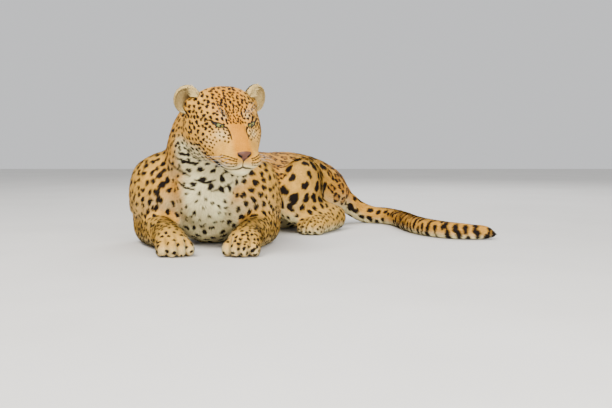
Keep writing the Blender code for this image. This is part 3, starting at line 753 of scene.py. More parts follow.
def spot_sizes(points, outward, weights, shares):
    """Spacing and radius in metres: each bone's own, eased along it, blended; the face by place."""
    plan = by_bone(SPOT_PLAN) / 1000
    eased = ease(0.25, 0.95, shares)
    spacing = (weights * (plan[:, 0] + (plan[:, 2] - plan[:, 0]) * eased)).sum(1)
    radius = (weights * (plan[:, 1] + (plan[:, 3] - plan[:, 1]) * eased)).sum(1)
    x, y, z = to_head(points).T
    head = headness(points)
    brow = ease(0.055, 0.030, abs(x)) * ease(0.085, 0.050, y) * (z > -0.02)
    under_eye = ease(0.010, -0.010, y) * ease(0.020, 0.032, abs(x)) * (z < -0.004)
    between_eyes = ease(0.032, 0.022, abs(x)) * ease(0.045, 0.030, z) * ease(0.030, 0.015, y)
    room_x, room_y, room_z = (points - SHIFT).T
    chest = ease(-0.055, -0.115, room_y) * ease(0.110, 0.070, abs(room_x))
    chest = chest * ease(0.300, 0.240, room_z) * (outward[:, 1] < -0.2)
    ridge = part_share(weights, "trunk") * ease(0.80, 0.97, outward[:, 2])
    for share, (gap, size) in (
            (head * brow, BROW_SPOTS), (head * under_eye, UNDER_EYE_SPOTS),
            (head * between_eyes, BETWEEN_SPOTS), ((1 - head) * chest, CHEST_SPOTS),
            (ridge, RIDGE_SPOTS)):
        spacing = spacing * (1 - share) + gap * share
        radius = radius * (1 - share) + size * share
    bridge = (abs(x) < 0.026) & (y < 0.004) & (z > -0.075) & (z < 0.004)
    muzzle = (y < -0.026) & (z < -0.034)
    chin = (y < -0.010) & (z < -0.085)
    radius = np.where((head > 0.5) & (bridge | muzzle | chin), 0, radius)
    return spacing, radius


skin_spacing, skin_radius = spot_sizes(skin_points, skin_normals, skin_weights, skin_share)
print("spacing, mm: %.0f to %.0f" % (1000 * skin_spacing.min(), 1000 * skin_spacing.max()))

# %% Deal out the spots
SPOT_SEED, CLOSER = 7, 0.84
rng = np.random.default_rng(SPOT_SEED)


def deal_spots(points, spacing, allowed):
    """Points chosen in random order, none nearer to an earlier one than its spacing."""
    order = rng.permutation(np.nonzero(allowed)[0])
    places, gaps = points[order], spacing[order]
    free = np.ones(len(order), bool)
    chosen = []
    for k in range(len(order)):
        if free[k]:
            chosen.append(order[k])
            offset = places - places[k]
            free &= (offset * offset).sum(1) > gaps[k] ** 2
    return np.array(chosen)


spots = deal_spots(skin_points, skin_spacing * CLOSER, skin_radius > 0)
print("spots:", len(spots))

# %% [markdown]
# ## The shape of a spot
# A spot is a rounded blot whose edge wavers: its radius is a few cosines of the angle round it,
# and it is a little longer along the coat. A rosette is the same blot with a ring of black broken
# by gaps and a tan middle. The same marks are stamped on the skin and on the tufts, so both
# carry one pattern.

# %% Give each spot its form
ROSETTES_FROM, BELLY_FACING, BELLY_SPOT = 0.06, -0.35, 0.009
BANDS_FROM, BAND_STRETCH, BAND_GROWTH = 0.45, 0.60, 1.12  # along the tail
SPOT_GROWTH, SPOT_STRETCH = (0.78, 1.18), (1.0, 1.45)  # least and most

trunk_k, tail_k = BONE_NAMES.index("trunk"), BONE_NAMES.index("tail")
marks = []
for k in spots:
    on_trunk = skin_weights[k][trunk_k] > 0.5
    behind_shoulder = skin_points[k][1] - SHIFT[1] > ROSETTES_FROM
    rosette = on_trunk and skin_normals[k][2] > BELLY_FACING and behind_shoulder
    phases = rng.uniform(0, 2 * math.pi, 4)
    size = skin_radius[k] * rng.uniform(*SPOT_GROWTH)
    if on_trunk and not rosette:
        size = min(size, BELLY_SPOT)
    stretch = rng.uniform(*SPOT_STRETCH)
    if skin_weights[k][tail_k] > 0.5 and skin_share[k][tail_k] > BANDS_FROM:
        stretch = BAND_STRETCH
        size *= BAND_GROWTH
    marks.append((skin_points[k], skin_normals[k], skin_lie[k], size, stretch, rosette, phases))
print("rosettes:", sum(mark[5] for mark in marks), "of", len(marks), "marks")

# %% Stamp the marks
EDGE_SOFT = 0.0007


def stamp(points, outward, tree, marks):
    """Black and tan shares at each point. In a mark's own plane, a spot is black inside its edge,

    edge(a) = r (1 + .16 cos(2a+p) + .10 cos(3a+q) + .06 cos(5a+s)), and a rosette's black lies
    where |distance - 0.8 edge| is less than a thickness that itself wavers and leaves gaps.
    """
    black, tan = np.zeros(len(points)), np.zeros(len(points))
    for centre, normal, lie, size, stretch, rosette, (p, q, s, t) in marks:
        found = tree.find_range(Vector(centre), size * 1.75)
        if not found:
            continue
        index = np.array([hit[1] for hit in found])
        offset = points[index] - centre
        same_side = outward[index] @ normal > 0.1
        across = np.cross(normal, lie)
        u, v = offset @ lie / stretch**0.5, offset @ across * stretch**0.5
        distance, angle = np.hypot(u, v), np.arctan2(v, u)
        edge = size * (1 + 0.16 * np.cos(2 * angle + p) + 0.10 * np.cos(3 * angle + q)
                       + 0.06 * np.cos(5 * angle + s))
        if rosette:
            gaps = 3 + int(t * 9) % 3
            thick = size * (0.26 + 0.18 * np.cos(gaps * angle + t))
            from_ring = distance - 0.80 * edge
            hit = ease(EDGE_SOFT, -EDGE_SOFT, np.abs(from_ring) - thick)
            middle = ease(EDGE_SOFT, -EDGE_SOFT, from_ring)
            tan[index] = np.maximum(tan[index], middle * same_side)
        else:
            hit = ease(EDGE_SOFT, -EDGE_SOFT, distance - edge)
        black[index] = np.maximum(black[index], hit * same_side)
    return black, tan


def tree_of(points):
    """A search tree over many points."""
    tree = KDTree(len(points))
    for index, point in enumerate(points.tolist()):
        tree.insert(point, index)
    tree.balance()
    return tree


print("soft edge of a mark, mm:", 1000 * EDGE_SOFT)

# %% [markdown]
# ## Lines drawn on the face
# Some marks have fixed places: the black rims of the eyes with a tear line, a line back from the
# outer corner, the rows of dots that whiskers grow from, the black patch at the corner of the
# mouth, dark lips, and the necklace of long spots across the throat. Each is a stroke: a line of
# points with a half width, laid on the skin.

# %% Strokes for the fixed marks
STROKES = [  # half width in mm, then points in the head's axes
    # the tear line, and the line back from the outer corner of the eye
    (2.3, (0.0250, -0.018, -0.006), (0.0205, -0.030, -0.018), (0.0190, -0.044, -0.032)),
    (2.1, (0.0500, -0.006, 0.005), (0.0600, 0.006, 0.007), (0.0700, 0.017, 0.004)),
    # two short lines up the brow
    (2.1, (0.0190, -0.008, 0.012), (0.0185, 0.002, 0.022), (0.0200, 0.012, 0.031)),
    (1.8, (0.0290, -0.004, 0.020), (0.0300, 0.006, 0.028), (0.0320, 0.014, 0.034)),
    # the black patch at the corner of the mouth, and two lines back over the cheek
    (10.0, (0.0400, -0.062, -0.096), (0.0520, -0.044, -0.093), (0.0610, -0.024, -0.087)),
    (2.0, (0.0610, -0.018, -0.083), (0.0680, 0.000, -0.080), (0.0740, 0.018, -0.078)),
    (1.8, (0.0660, 0.004, -0.062), (0.0760, 0.020, -0.058), (0.0840, 0.040, -0.056)),
]
BODY_STROKES = [  # the necklace, in the tables' frame: half width in mm, then points
    (4.6, (-0.070, -0.145, 0.246), (-0.040, -0.178, 0.228), (-0.012, -0.196, 0.218)),
    (5.2, (0.030, -0.205, 0.213), (0.062, -0.196, 0.221), (0.094, -0.164, 0.240)),
    (4.2, (-0.092, -0.105, 0.236), (-0.070, -0.140, 0.212), (-0.040, -0.166, 0.194)),
    (4.0, (-0.026, -0.177, 0.188), (0.006, -0.184, 0.183), (0.036, -0.179, 0.187)),
    (4.2, (0.050, -0.171, 0.193), (0.075, -0.150, 0.207), (0.096, -0.118, 0.230)),
    (3.4, (-0.070, -0.128, 0.182), (-0.045, -0.150, 0.166), (-0.020, -0.160, 0.160)),
    (3.4, (0.020, -0.160, 0.158), (0.045, -0.152, 0.164), (0.072, -0.130, 0.180)),
]
WHISKER_ROWS, WHISKERS_A_ROW = 4, 6
WHISKER_LINE, WHISKER_DOT = 0.0013, 0.0023


def whisker_roots(x_sign):
    """Rows of places on the whisker pad: each row runs back from beside the nose, under the last."""
    row, place = np.meshgrid(np.arange(WHISKER_ROWS), np.arange(WHISKERS_A_ROW), indexing="ij")
    row, place = row.ravel(), place.ravel() + 0.35 * (row.ravel() % 2)
    x = 0.019 + 0.0062 * place
    y = -0.086 + 0.0024 * place + 0.0009 * place**2
    z = -0.0650 - 0.0058 * row + 0.0004 * place
    return np.column_stack([x_sign * x, y, z])


skin_tree = surface_tree(skin)
whisker_places = {
    side: onto(skin_tree, from_head(whisker_roots(x_sign))) for side, x_sign in SIDES.items()}
stroke_lines = []
for places in whisker_places.values():
    for row in places.reshape(WHISKER_ROWS, WHISKERS_A_ROW, 3):
        stroke_lines.append((WHISKER_LINE, onto(skin_tree, smooth_rows(row, 10))))
for wide, *places in STROKES:
    for rows in (places, mirrored(places)):
        stroke_lines.append((wide / 1000, onto(skin_tree, from_head(smooth_rows(rows, 12)))))
for wide, *places in BODY_STROKES:
    stroke_lines.append((wide / 1000, onto(skin_tree, smooth_rows(places, 12) + SHIFT)))
dots = np.vstack(list(whisker_places.values()))
print("strokes:", len(stroke_lines), "dots:", len(dots))

# %% Draw strokes, lips and eye rims
def stroked(points, tree):
    """Black share of the strokes and dots: 1 within the half width, which tapers to both ends."""
    black = np.zeros(len(points))
    for wide, line in stroke_lines:
        taper = wide * np.sin(math.pi * np.linspace(0.12, 0.88, len(line))) ** 0.6
        for middle, reach in zip(line, taper):
            found = tree.find_range(Vector(middle), reach + 0.0006)
            for _, index, distance in found:
                black[index] = max(black[index], 1 - (distance > reach - 0.0004) * 0.6)
    for dot in dots:
        for _, index, distance in tree.find_range(Vector(dot), WHISKER_DOT):
            black[index] = max(black[index], 0.92)
    return black


def mouth_black(points):
    """Dark lips and furrow: black close to the line of the mouth and under the nose."""
    x, y, z = to_head(points).T
    furrow = ease(0.0022, 0.0010, abs(x)) * (y < -0.07)
    furrow = furrow * ease(PAD_FOOT + 0.003, PAD_FOOT, z) * ease(-0.092, -0.088, z)
    return np.maximum(ease(0.0040, 0.0020, distance_to(points, mouth_line)), furrow) * 0.93


def eye_black(points):
    """Black rims: 1 within a few millimetres outside each lid's opening."""
    rim = np.zeros(len(points))
    for x_sign in SIDES.values():
        x, y, z = into(lid_frame(x_sign), points).T
        outside = abs(z) - half_open(x, z)
        near = (abs(x) < LID_WIDTH / 2 + 0.003) & (y < 0) & (np.hypot(x, z) < 0.03) & (y > -0.03)
        rim = np.maximum(rim, ease(0.0034, 0.0018, outside) * near)
    return rim


print("black at the eyes, points:", int((eye_black(skin_points) > 0.5).sum()))

# %% Colour the nose and put all the layers together
NOSE_PINK, NOSE_EDGE = np.array([0.120, 0.046, 0.026]), np.array([0.030, 0.015, 0.012])


def nose_colour(points, colours):
    """Pinkish leather on the pad, dark towards its rim, and painted shade, near black, inside the
    nostrils.
    """
    x, y, z = to_head(points).T
    rim = ease(0.62, 0.98, abs(x) / pad_half_width(z))
    rim = np.maximum(rim, ease(PAD_FOOT + 0.010, PAD_FOOT + 0.002, z) * 0.8)[:, None]
    colours = mixed(colours, NOSE_PINK * (1 - rim) + NOSE_EDGE * rim, pad_share(to_head(points)))
    across = abs(x) - NOSTRIL[0]
    up = z - NOSTRIL[2] - NOSTRIL_SLANT * across
    # The inside of each nostril is painted near black: painted shade in the hollow.
    hole = ease(1.35, 0.75, np.hypot(across / NOSTRIL_WIDE, up / NOSTRIL_HIGH)) * (y < -0.06)
    return mixed(colours, BLACK * 0.5, hole)


def coat_colour(points, outward, ground):
    """Ground, then rosette middles, then spots, strokes, lips and eye rims; and the black share."""
    tree = tree_of(points)
    black, tan = stamp(points, outward, tree, marks)
    face = headness(points) > 0.2
    black = np.maximum(black, stroked(points, tree))
    extra = np.zeros(len(points))
    extra[face] = np.maximum(mouth_black(points[face]), eye_black(points[face]))
    black = np.maximum(black, extra)
    colours = mixed(mixed(ground, TAN_FILL, tan * 0.70), BLACK, black)
    return nose_colour(points, colours), black


skin_colour, skin_black = coat_colour(skin_points, skin_normals, skin_ground)
print("skin triangles:", sum(len(face.vertices) - 2 for face in skin.data.polygons))
print("share of black: %.2f" % skin_black.mean())

# %% [markdown]
# ## The ears
# A leopard's ear is a short rounded cup: black behind with a pale spot, sandy at the rim, and brown
# inside with long pale hairs that spring from its front edge. Its colours come from where a point
# lies in the ear's own axes: how far forward it faces and how near it is to the rim.

# %% Colour the ears
EAR_PLACE, EAR_TURN = (0.090, 0.094, 0.036), math.radians(24)
EAR_WIDE, EAR_HIGH = 0.034, 0.0365
EAR_INSIDE, EAR_RIM = np.array([0.175, 0.105, 0.035]), np.array([0.720, 0.520, 0.200])


def ear_frame(x_sign):
    """The axes of an ear: x across the cup, y to its back, z to its tip."""
    x, y, z = EAR_PLACE
    return HEAD @ Matrix.Translation((x_sign * x, y, z)) @ Matrix.Rotation(x_sign * EAR_TURN, 4, "Z")


def ear_colour(points, outward, x_sign):
    """Rim where the outline of the cup is reached, brown inside, black with a pale spot behind."""
    axes = ear_frame(x_sign)
    x, _, z = into(axes, points).T
    facing_back = outward @ np.array(axes)[:3, 1]
    edge = np.hypot(x / EAR_WIDE, z / EAR_HIGH)
    rim, behind = ease(0.80, 0.93, edge), ease(-0.1, 0.35, facing_back)
    inside = np.tile(EAR_INSIDE, (len(points), 1))
    inside = mixed(inside, EAR_RIM, np.maximum(rim, ease(0.0, 0.8, edge) * 0.6))
    back = mixed(np.tile(SAND, (len(points), 1)), BLACK, ease(-0.2, 0.3, z / EAR_HIGH))
    spot = np.exp(-(((x / 0.012) ** 2 + ((z - 0.016) / 0.009) ** 2) ** 2))
    back = mixed(mixed(back, WHITE, spot), EAR_RIM, rim * ease(0.6, 0.0, facing_back))
    return inside * (1 - behind)[:, None] + back * behind[:, None], behind


ear_data = {}
for side, x_sign in SIDES.items():
    at, out = points_of(ears[side]), normals_of(ears[side])
    colours, behind = ear_colour(at, out, x_sign)
    axes = np.array(ear_frame(x_sign))
    lie = laid(axes[:3, 2] + unit(at - axes[:3, 3]) * 0.8, out)
    ear_data[side] = (at, out, colours, behind, lie)
    print("ear", side, "mean colour", colours.mean(0).round(3))

# %% [markdown]
# ## A tuft of hair
# The export drops particle hair, so the coat is solid mesh. One tuft is the least solid there is:
# four points and four triangles, a blade that starts under the skin, is widest a third of the way
# along and tapers to a tip. It leans off the skin by a small angle and follows the lie. Thousands
# overlap like shingles. The shading normal at its points leans only a little away from the skin's,
# so the coat takes the light as one soft surface with a fine grain.
# Each tuft is darker at its root as painted shade, where the others cover it, and paler at its tip as
# the hair's own colour.

# %% Tufts as arrays
TUFT_FACES = np.array([(0, 2, 1), (3, 1, 2), (0, 1, 3), (0, 3, 2)])
# Painted shade at the root of each tuft, where others cover it, and a paler tip of the hair's own colour
TUFT_ROOT_SHADE_PALE_TIP = (0.70, 0.98, 0.98, 1.10)  # root, left, right and tip
TUFT_BACK, TUFT_SINK, TUFT_BROADEST, TUFT_RAISED = 0.10, 0.0004, 0.30, 0.30
NORMAL_ASIDE, NORMAL_AHEAD = 0.42, 0.35
BAKE_PATCH = 0.003
FLOOR_CLEAR = 0.0008


def tuft_points(root, outward, lie, length, width, lean):
    """Four points a tuft: root, left, right and tip, as (tufts, 4, 3).

    left and right lie 0.3 of the length along, half the width to each side and a little raised;
    the tip lies the whole length along, raised by the sine of the lean.
    """
    side = np.cross(outward, lie)
    length, width, rise = length[:, None], width[:, None], np.sin(lean)[:, None]
    start = root - lie * length * TUFT_BACK - outward * TUFT_SINK
    middle = root + lie * length * TUFT_BROADEST
    middle = middle + outward * (length * TUFT_BROADEST * rise + width * TUFT_RAISED)
    tip = root + lie * length * np.cos(lean)[:, None] + outward * (length * rise)
    points = np.stack([start, middle + side * width / 2, middle - side * width / 2, tip], 1)
    points[:, :, 2] = np.maximum(points[:, :, 2], FLOOR_CLEAR)
    return points


def tuft_normals(outward, lie):
    """Shading normals of the four points: the skin's, leaning to the point's own side."""
    aside, ahead = np.cross(outward, lie) * NORMAL_ASIDE, lie * NORMAL_AHEAD
    return unit(np.stack([outward, outward + aside, outward - aside, outward + ahead], 1))


def coat_piece(name, root, outward, lie, length, width, lean, near, far, shade, bake):
    """One object of many tufts: a colour near the root and one at the tip, painted shade at the root,
    and patches in OFBake.
    """
    count = len(root)
    points = tuft_points(root, outward, lie, length, width, lean).reshape(-1, 3)
    faces = (TUFT_FACES[None] + 4 * np.arange(count)[:, None, None]).reshape(-1, 3)
    obj = mesh_object(name, points, faces)
    # The root is darkened to 0.70 as painted shade where the other tufts cover it; the paler tip is the
    # hair's own colour.
    root_shade_pale_tip = np.array(TUFT_ROOT_SHADE_PALE_TIP)[None, :, None]
    colours = np.stack([near, near, near, far], 1) * root_shade_pale_tip * shade[:, None, None]
    keep_colour(obj, np.clip(colours, 0, 1).reshape(-1, 3))
    obj.data.normals_split_custom_set_from_vertices(tuft_normals(outward, lie).reshape(-1, 3))
    corner = np.array([(-1, -1), (-1, 1), (1, 1), (1, -1)]) * BAKE_PATCH / 2
    keep_map(obj, "OFBake", (bake[:, None] + corner[None]).reshape(-1, 2), faces)
    return obj


print("triangles a tuft:", len(TUFT_FACES))

# %% [markdown]
# ## Where the tufts stand
# Roots are drawn at random over the skin's triangles, so many to each area that the coat covers
# evenly: short narrow tufts stand close, long broad ones further apart. None grows on the pad of
# the nose, the lips, the eyes or the soles that rest on the floor.

# %% Length of coat and bare places
COAT_LENGTHS = {"neck": 12, "trunk": 12, "tail": 12, "haunch": 12, "shank": 10, "foot": 6.5,
                "arm": 11, "forearm": 8.5, "head": 8}  # millimetres


def coat_length(points, outward, weights):
    """Metres, from mm: 3 on the muzzle, 5 to 9 up the head, 12 on the body, 16 below, 5 to 7 on feet."""
    head = headness(points)
    _, y, z = (points - SHIFT).T
    body = weights @ by_bone(COAT_LENGTHS) + 4 * ease(0.0, -0.6, outward[:, 2]) * (z > 0.06)
    body = body - 3.5 * ease(-0.22, -0.28, y) * (z < 0.08)
    _, y, z = to_head(points).T
    face = 3.0 + 2.2 * ease(-0.03, 0.03, y) + 3.5 * ease(0.03, 0.11, y)
    face = face + 2.0 * ease(-0.060, -0.095, z) * ease(-0.04, 0.02, y)
    return (body * (1 - head) + face * head) / 1000


def bare_share(points, outward):
    """1 where no hair grows: the nose pad, the lips, before the eyes, and soles on the floor."""
    face = headness(points) > 0.2
    lips = np.zeros(len(points))
    lips[face] = distance_to(points[face], mouth_line) < 0.0011
    bare = np.maximum(pad_share(to_head(points)), lips)
    for x_sign in SIDES.values():
        x, y, z = into(lid_frame(x_sign), points).T
        before_eye = (abs(z) < half_open(x, z, 0.002) + 0.0024) & (y < 0) & (np.hypot(x, z) < 0.017)
        bare = np.maximum(bare, before_eye)
    sole = (points[:, 2] < 0.0045) & (outward[:, 2] < -0.6)
    return np.maximum(bare, sole)


skin_length = coat_length(skin_points, skin_normals, skin_weights)
skin_bare = bare_share(skin_points, skin_normals)
print("coat length, mm: %.1f to %.1f" % (1000 * skin_length.min(), 1000 * skin_length.max()))

# %% Triangles of the skin, their areas and the part each belongs to
COAT_PIECES = {  # tufts in each piece, and its bones
    "coat_face": (47000, ()), "coat_head": (42000, ()),
    "coat_neck": (47000, ("neck",)), "coat_trunk_left": (40000, ("trunk",)),
    "coat_trunk_right": (40000, ("trunk",)),
    "coat_foreleg_left": (27000, ("arm_left", "forearm_left")),
    "coat_foreleg_right": (27000, ("arm_right", "forearm_right")),
    "coat_hind_leg_left": (30000, ("haunch_left", "shank_left", "foot_left")),
    "coat_hind_leg_right": (26000, ("haunch_right", "shank_right", "foot_right")),
    "coat_tail": (24000, ("tail",)),
}
FACE_END = 0.035
TRUNK_MIDDLE = ((0, 0.18, 0.375, 0.525, 0.63), (0, 0.01, 0.075, 0.205, 0.335))  # y, and x there


def triangles_of(obj):
    """Corner indices (m, 3) of the mesh cut into triangles."""
    obj.data.calc_loop_triangles()
    flat = np.empty(len(obj.data.loop_triangles) * 3, np.int32)
    obj.data.loop_triangles.foreach_get("vertices", flat)
    return flat.reshape(-1, 3)


def areas_of(corners):
    """Half the length of the cross product of two sides of each triangle."""
    first, second = corners[:, 1] - corners[:, 0], corners[:, 2] - corners[:, 0]
    return np.linalg.norm(np.cross(first, second), axis=1) / 2


skin_triangles = triangles_of(skin)
corners = skin_points[skin_triangles]
areas, centres = areas_of(corners), corners.mean(1)
main_bone = nearest_bone[skin_triangles[:, 0]]
on_head = headness(centres) > 0.35
head_back = to_head(centres)[:, 1] > FACE_END
belongs = np.empty(len(centres), object)
for name, (_, bones) in COAT_PIECES.items():
    chosen = np.isin(main_bone, [BONE_NAMES.index(bone) for bone in bones]) & ~on_head
    if name.startswith("coat_trunk"):
        left = centres[:, 0] - SHIFT[0] > np.interp(centres[:, 1] - SHIFT[1], *TRUNK_MIDDLE)
        chosen &= left if name.endswith("left") else ~left
    belongs[chosen] = name
belongs[(main_bone == BONE_NAMES.index("head")) & ~on_head] = "coat_neck"
belongs[on_head & ~head_back] = "coat_face"
belongs[on_head & head_back] = "coat_head"
for name in COAT_PIECES:
    print(name, "area, cm2: %.0f" % (1e4 * areas[belongs == name].sum()))

# %% Places on the bake map, and random places on triangles
CHARTS, CHART_EDGE = 4, 0.03  # the bake map is a square of charts, four a side, one a bone


def bake_place(points, bone_index):
    """Each root's place on an unwrap: its bone's chart, the angle round the bone and the length."""
    place = np.zeros((len(points), 2))
    for k, name in enumerate(BONE_NAMES):
        mine = bone_index == k
        if not mine.any():
            continue
        _, tangent, share, middle = nearest_on_bone(points[mine], name)
        side = unit(np.cross(tangent, (0.0, 0.0, 1.0)))
        lift = np.cross(side, tangent)
        offset = points[mine] - middle
        angle = np.arctan2((offset * lift).sum(1), (offset * side).sum(1)) / (2 * math.pi) + 0.5
        in_chart = CHART_EDGE + (1 - 2 * CHART_EDGE) * np.column_stack([angle, share])
        place[mine] = in_chart + (k % CHARTS, k // CHARTS)
    return place / CHARTS


def scatter(triangles, chance, count):
    """Random places on triangles: the corners of each drawn one and its three corner shares."""
    picked = rng.choice(len(triangles), count, p=chance / chance.sum())
    share = rng.random((count, 2))
    share = np.where(share.sum(1, keepdims=True) > 1, 1 - share, share)
    return triangles[picked], np.column_stack([1 - share.sum(1), share])


def blend_corners(values, ends, share):
    """A value at each drawn place, from the values at its triangle's corners."""
    return np.einsum("ij,ij...->i...", share, values[ends])


print("charts on the bake map:", CHARTS**2)

# %% Grow the coat
COLOURED_AT = (0.25, 0.75)  # of a tuft's length: its near and its far colour
STRAY, SHADE_STRAY, DRIFT = 0.16, 0.10, 0.10
TUFT_LONG, TUFT_WIDE, TUFT_LEAN = (0.75, 1.25), (0.8, 1.25), (5, 15)  # shares, shares and degrees
WIDTH_LEAST, WIDTH_SHARE = 0.00035, 0.15  # a width is this much and this share of the length


def grown(name, count):
    """Draws the roots of a piece over its triangles and builds its tufts."""
    mine = np.nonzero((belongs == name) & (skin_bare[skin_triangles].max(1) < 0.5))[0]
    length = skin_length[skin_triangles[mine]].mean(1)
    ends, share = scatter(skin_triangles[mine], areas[mine] / length**1.5, count)
    root, outward, lie, length, ground = (
        blend_corners(values, ends, share)
        for values in (skin_points, skin_normals, skin_lie, skin_length, skin_ground))
    outward = unit(outward)
    lie = laid(lie + rng.normal(0, STRAY, (count, 3)), outward)
    length = length * rng.uniform(*TUFT_LONG, count)
    width = (WIDTH_LEAST + WIDTH_SHARE * length) * rng.uniform(*TUFT_WIDE, count)
    lean = np.radians(rng.uniform(*TUFT_LEAN, count))
    near, far = (coat_colour(root + lie * (length * part)[:, None], outward, ground)[0]
                 for part in COLOURED_AT)
    drift = np.sin(root[:, 0] * 90) * np.sin(root[:, 1] * 70 + root[:, 2] * 60)
    shade = rng.normal(1.0, SHADE_STRAY, count) + DRIFT * drift
    bake = bake_place(root, nearest_bone[ends[:, 0]])
    return coat_piece(name, root, outward, lie, length, width, lean, near, far, shade, bake)


coats = []
for name, (count, _) in COAT_PIECES.items():
    coats.append(grown(name, count))
    print(name, "triangles:", len(coats[-1].data.polygons))

# %% [markdown]
# ## Hair on the ears
# The back and rim of each ear carry the same short tufts as the head. From the front edge a fan of
# long pale hairs crosses the mouth of the cup, as it keeps insects out on the real animal.

# %% Tufts on the cup of an ear
EAR_TUFTS, INSIDE_FEWER, CUP_STRAY, CUP_SHADE_STRAY = 9000, 0.45, 0.2, 0.12
CUP_LONG, CUP_WIDE, CUP_LEAN = (0.0035, 0.0055), (0.16, 0.24), (6, 22)  # m, share, degrees
EAR_CHARTS, EAR_CHART_SCALE = {"left": (0.76, 0.88), "right": (0.88, 0.88)}, 1.2


def cup_tufts(side):
    """Short tufts over the whole cup, fewer inside it."""
    at, out, colours, behind, lie = ear_data[side]
    faces = triangles_of(ears[side])
    inner = 1 - behind[faces].mean(1)
    ends, share = scatter(faces, areas_of(at[faces]) * (1 - INSIDE_FEWER * inner), EAR_TUFTS)
    root, outward, way, tint = (
        blend_corners(values, ends, share) for values in (at, out, lie, colours))
    outward = unit(outward)
    way = laid(way + rng.normal(0, CUP_STRAY, (EAR_TUFTS, 3)), outward)
    length = rng.uniform(*CUP_LONG, EAR_TUFTS)
    width = length * rng.uniform(*CUP_WIDE, EAR_TUFTS)
    lean = np.radians(rng.uniform(*CUP_LEAN, EAR_TUFTS))
    shade = rng.normal(1, CUP_SHADE_STRAY, EAR_TUFTS)
    bake = EAR_CHARTS[side] + into(ear_frame(SIDES[side]), root)[:, [0, 2]] * EAR_CHART_SCALE
    return root, outward, way, length, width, lean, tint, shade, bake


print("tufts a cup:", EAR_TUFTS)

# %% The pale fans, and both ear coats
EAR_FAN, FAN_WIDTH, FAN_COLOUR, FAN_BAKE = 260, 0.0011, WHITE * 0.45 + SAND * 0.50, (0.95, 0.80)
FAN_TURN, FAN_INSET, FAN_DEPTH = (-38, 62), (0.72, 0.98), (-0.009, -0.001)  # degrees, share, m
FAN_AIM = ((0.5, 1.0), (-0.35, 0.05), (0.0, 0.9))  # over the cup, to its back, up
FAN_LONG, FAN_LEAN = (0.013, 0.026), (0, 14)  # m and degrees


def fan_tufts(side):
    """Long hairs rooted up the front edge of the cup, which lies towards the middle of the head."""
    x_sign, axes = SIDES[side], np.array(ear_frame(SIDES[side]))
    turn = np.radians(rng.uniform(*FAN_TURN, EAR_FAN))
    inset = rng.uniform(*FAN_INSET, EAR_FAN)
    edge = np.column_stack([-x_sign * EAR_WIDE * np.cos(turn) * inset,
                            rng.uniform(*FAN_DEPTH, EAR_FAN), EAR_HIGH * np.sin(turn) * inset])
    root = onto(surface_tree(ears[side]), out_of(axes, edge))
    over, back, up = (rng.uniform(*ends, EAR_FAN) for ends in FAN_AIM)
    aim = unit(np.column_stack([x_sign * over, back, up]) @ axes[:3, :3].T)
    outward = laid(np.tile(-axes[:3, 1], (EAR_FAN, 1)), aim)
    length = rng.uniform(*FAN_LONG, EAR_FAN)
    lean = np.radians(rng.uniform(*FAN_LEAN, EAR_FAN))
    shade = rng.normal(1, 0.1, EAR_FAN)
    width, tint, bake = (np.full(EAR_FAN, FAN_WIDTH), np.tile(FAN_COLOUR, (EAR_FAN, 1)),
                         np.tile(FAN_BAKE, (EAR_FAN, 1)))
    return root, outward, aim, length, width, lean, tint, shade, bake


for side in SIDES:
    *build, tint, shade, bake = (
        np.concatenate(pair) for pair in zip(cup_tufts(side), fan_tufts(side)))
    coats.append(coat_piece("coat_ear_" + side, *build, tint, tint, shade, bake))
    print(coats[-1].name, "triangles:", len(coats[-1].data.polygons))

# %% [markdown]
# ## The lids
# Each lid is a ring drawn in the axes of its opening. The inner edge of the ring follows the
# almond of the opening just in front of the eyeball. The ring then rolls out over a wet black
# margin, as thick as a real one, and runs out into the skin.

# %% Rings of lid round the openings
LID_STEPS = 80
LID_ROWS = (  # reach out from the opening, and radius of the ball that the row lies on
    (-0.0004, 0.0143), (0.0, 0.0156), (0.0005, 0.0162), (0.0013, 0.0166), (0.0024, 0.0169))
LID_SPREAD = ((0.0042, 0.0004), (0.0062, 0.0001), (0.0085, -0.0006))  # reach, height over the skin
SPREAD_BALL = 0.0170
LID_BLACK, LID_LEATHER = (1, 1, 1, 1, 0.9, 0, 0, 0), (0.5, 0.5, 0.4, 0.2, 0, 0, 0, 0)  # row by row


def lid_ring(x_sign):
    """Rows of an almond x = w cos t, z = h sin t |sin t|, each further out, on a ball or the skin."""
    t = 2 * math.pi * np.arange(LID_STEPS) / LID_STEPS
    high = np.where(np.sin(t) > 0, LID_ABOVE, LID_BELOW)
    x, z = LID_WIDTH / 2 * np.cos(t), high * np.sin(t) * abs(np.sin(t))
    away = unit(np.column_stack([np.cos(t) * 0.55, np.sin(t)]))
    axes = lid_frame(x_sign)

    def row(reach, ball, least):
        """The almond moved out by a reach, with y on a ball: the square of y is at least so much."""
        px, pz = x + away[:, 0] * reach, z + away[:, 1] * reach
        y = -np.sqrt(np.maximum(ball**2 - px**2 - pz**2, least))
        return out_of(axes, np.column_stack([px, y, pz]))

    rows = [row(reach, ball, 1e-6) for reach, ball in LID_ROWS]
    for reach, height in LID_SPREAD:
        found = [lid_tree.find_nearest(Vector(point)) for point in row(reach, SPREAD_BALL, 2.9e-5)]
        rows.append(np.array([hit[0] + hit[1] * height for hit in found]))
    faces = grid_faces(len(rows), LID_STEPS, closed=True)
    return np.vstack(rows), faces if x_sign < 0 else faces[:, ::-1]


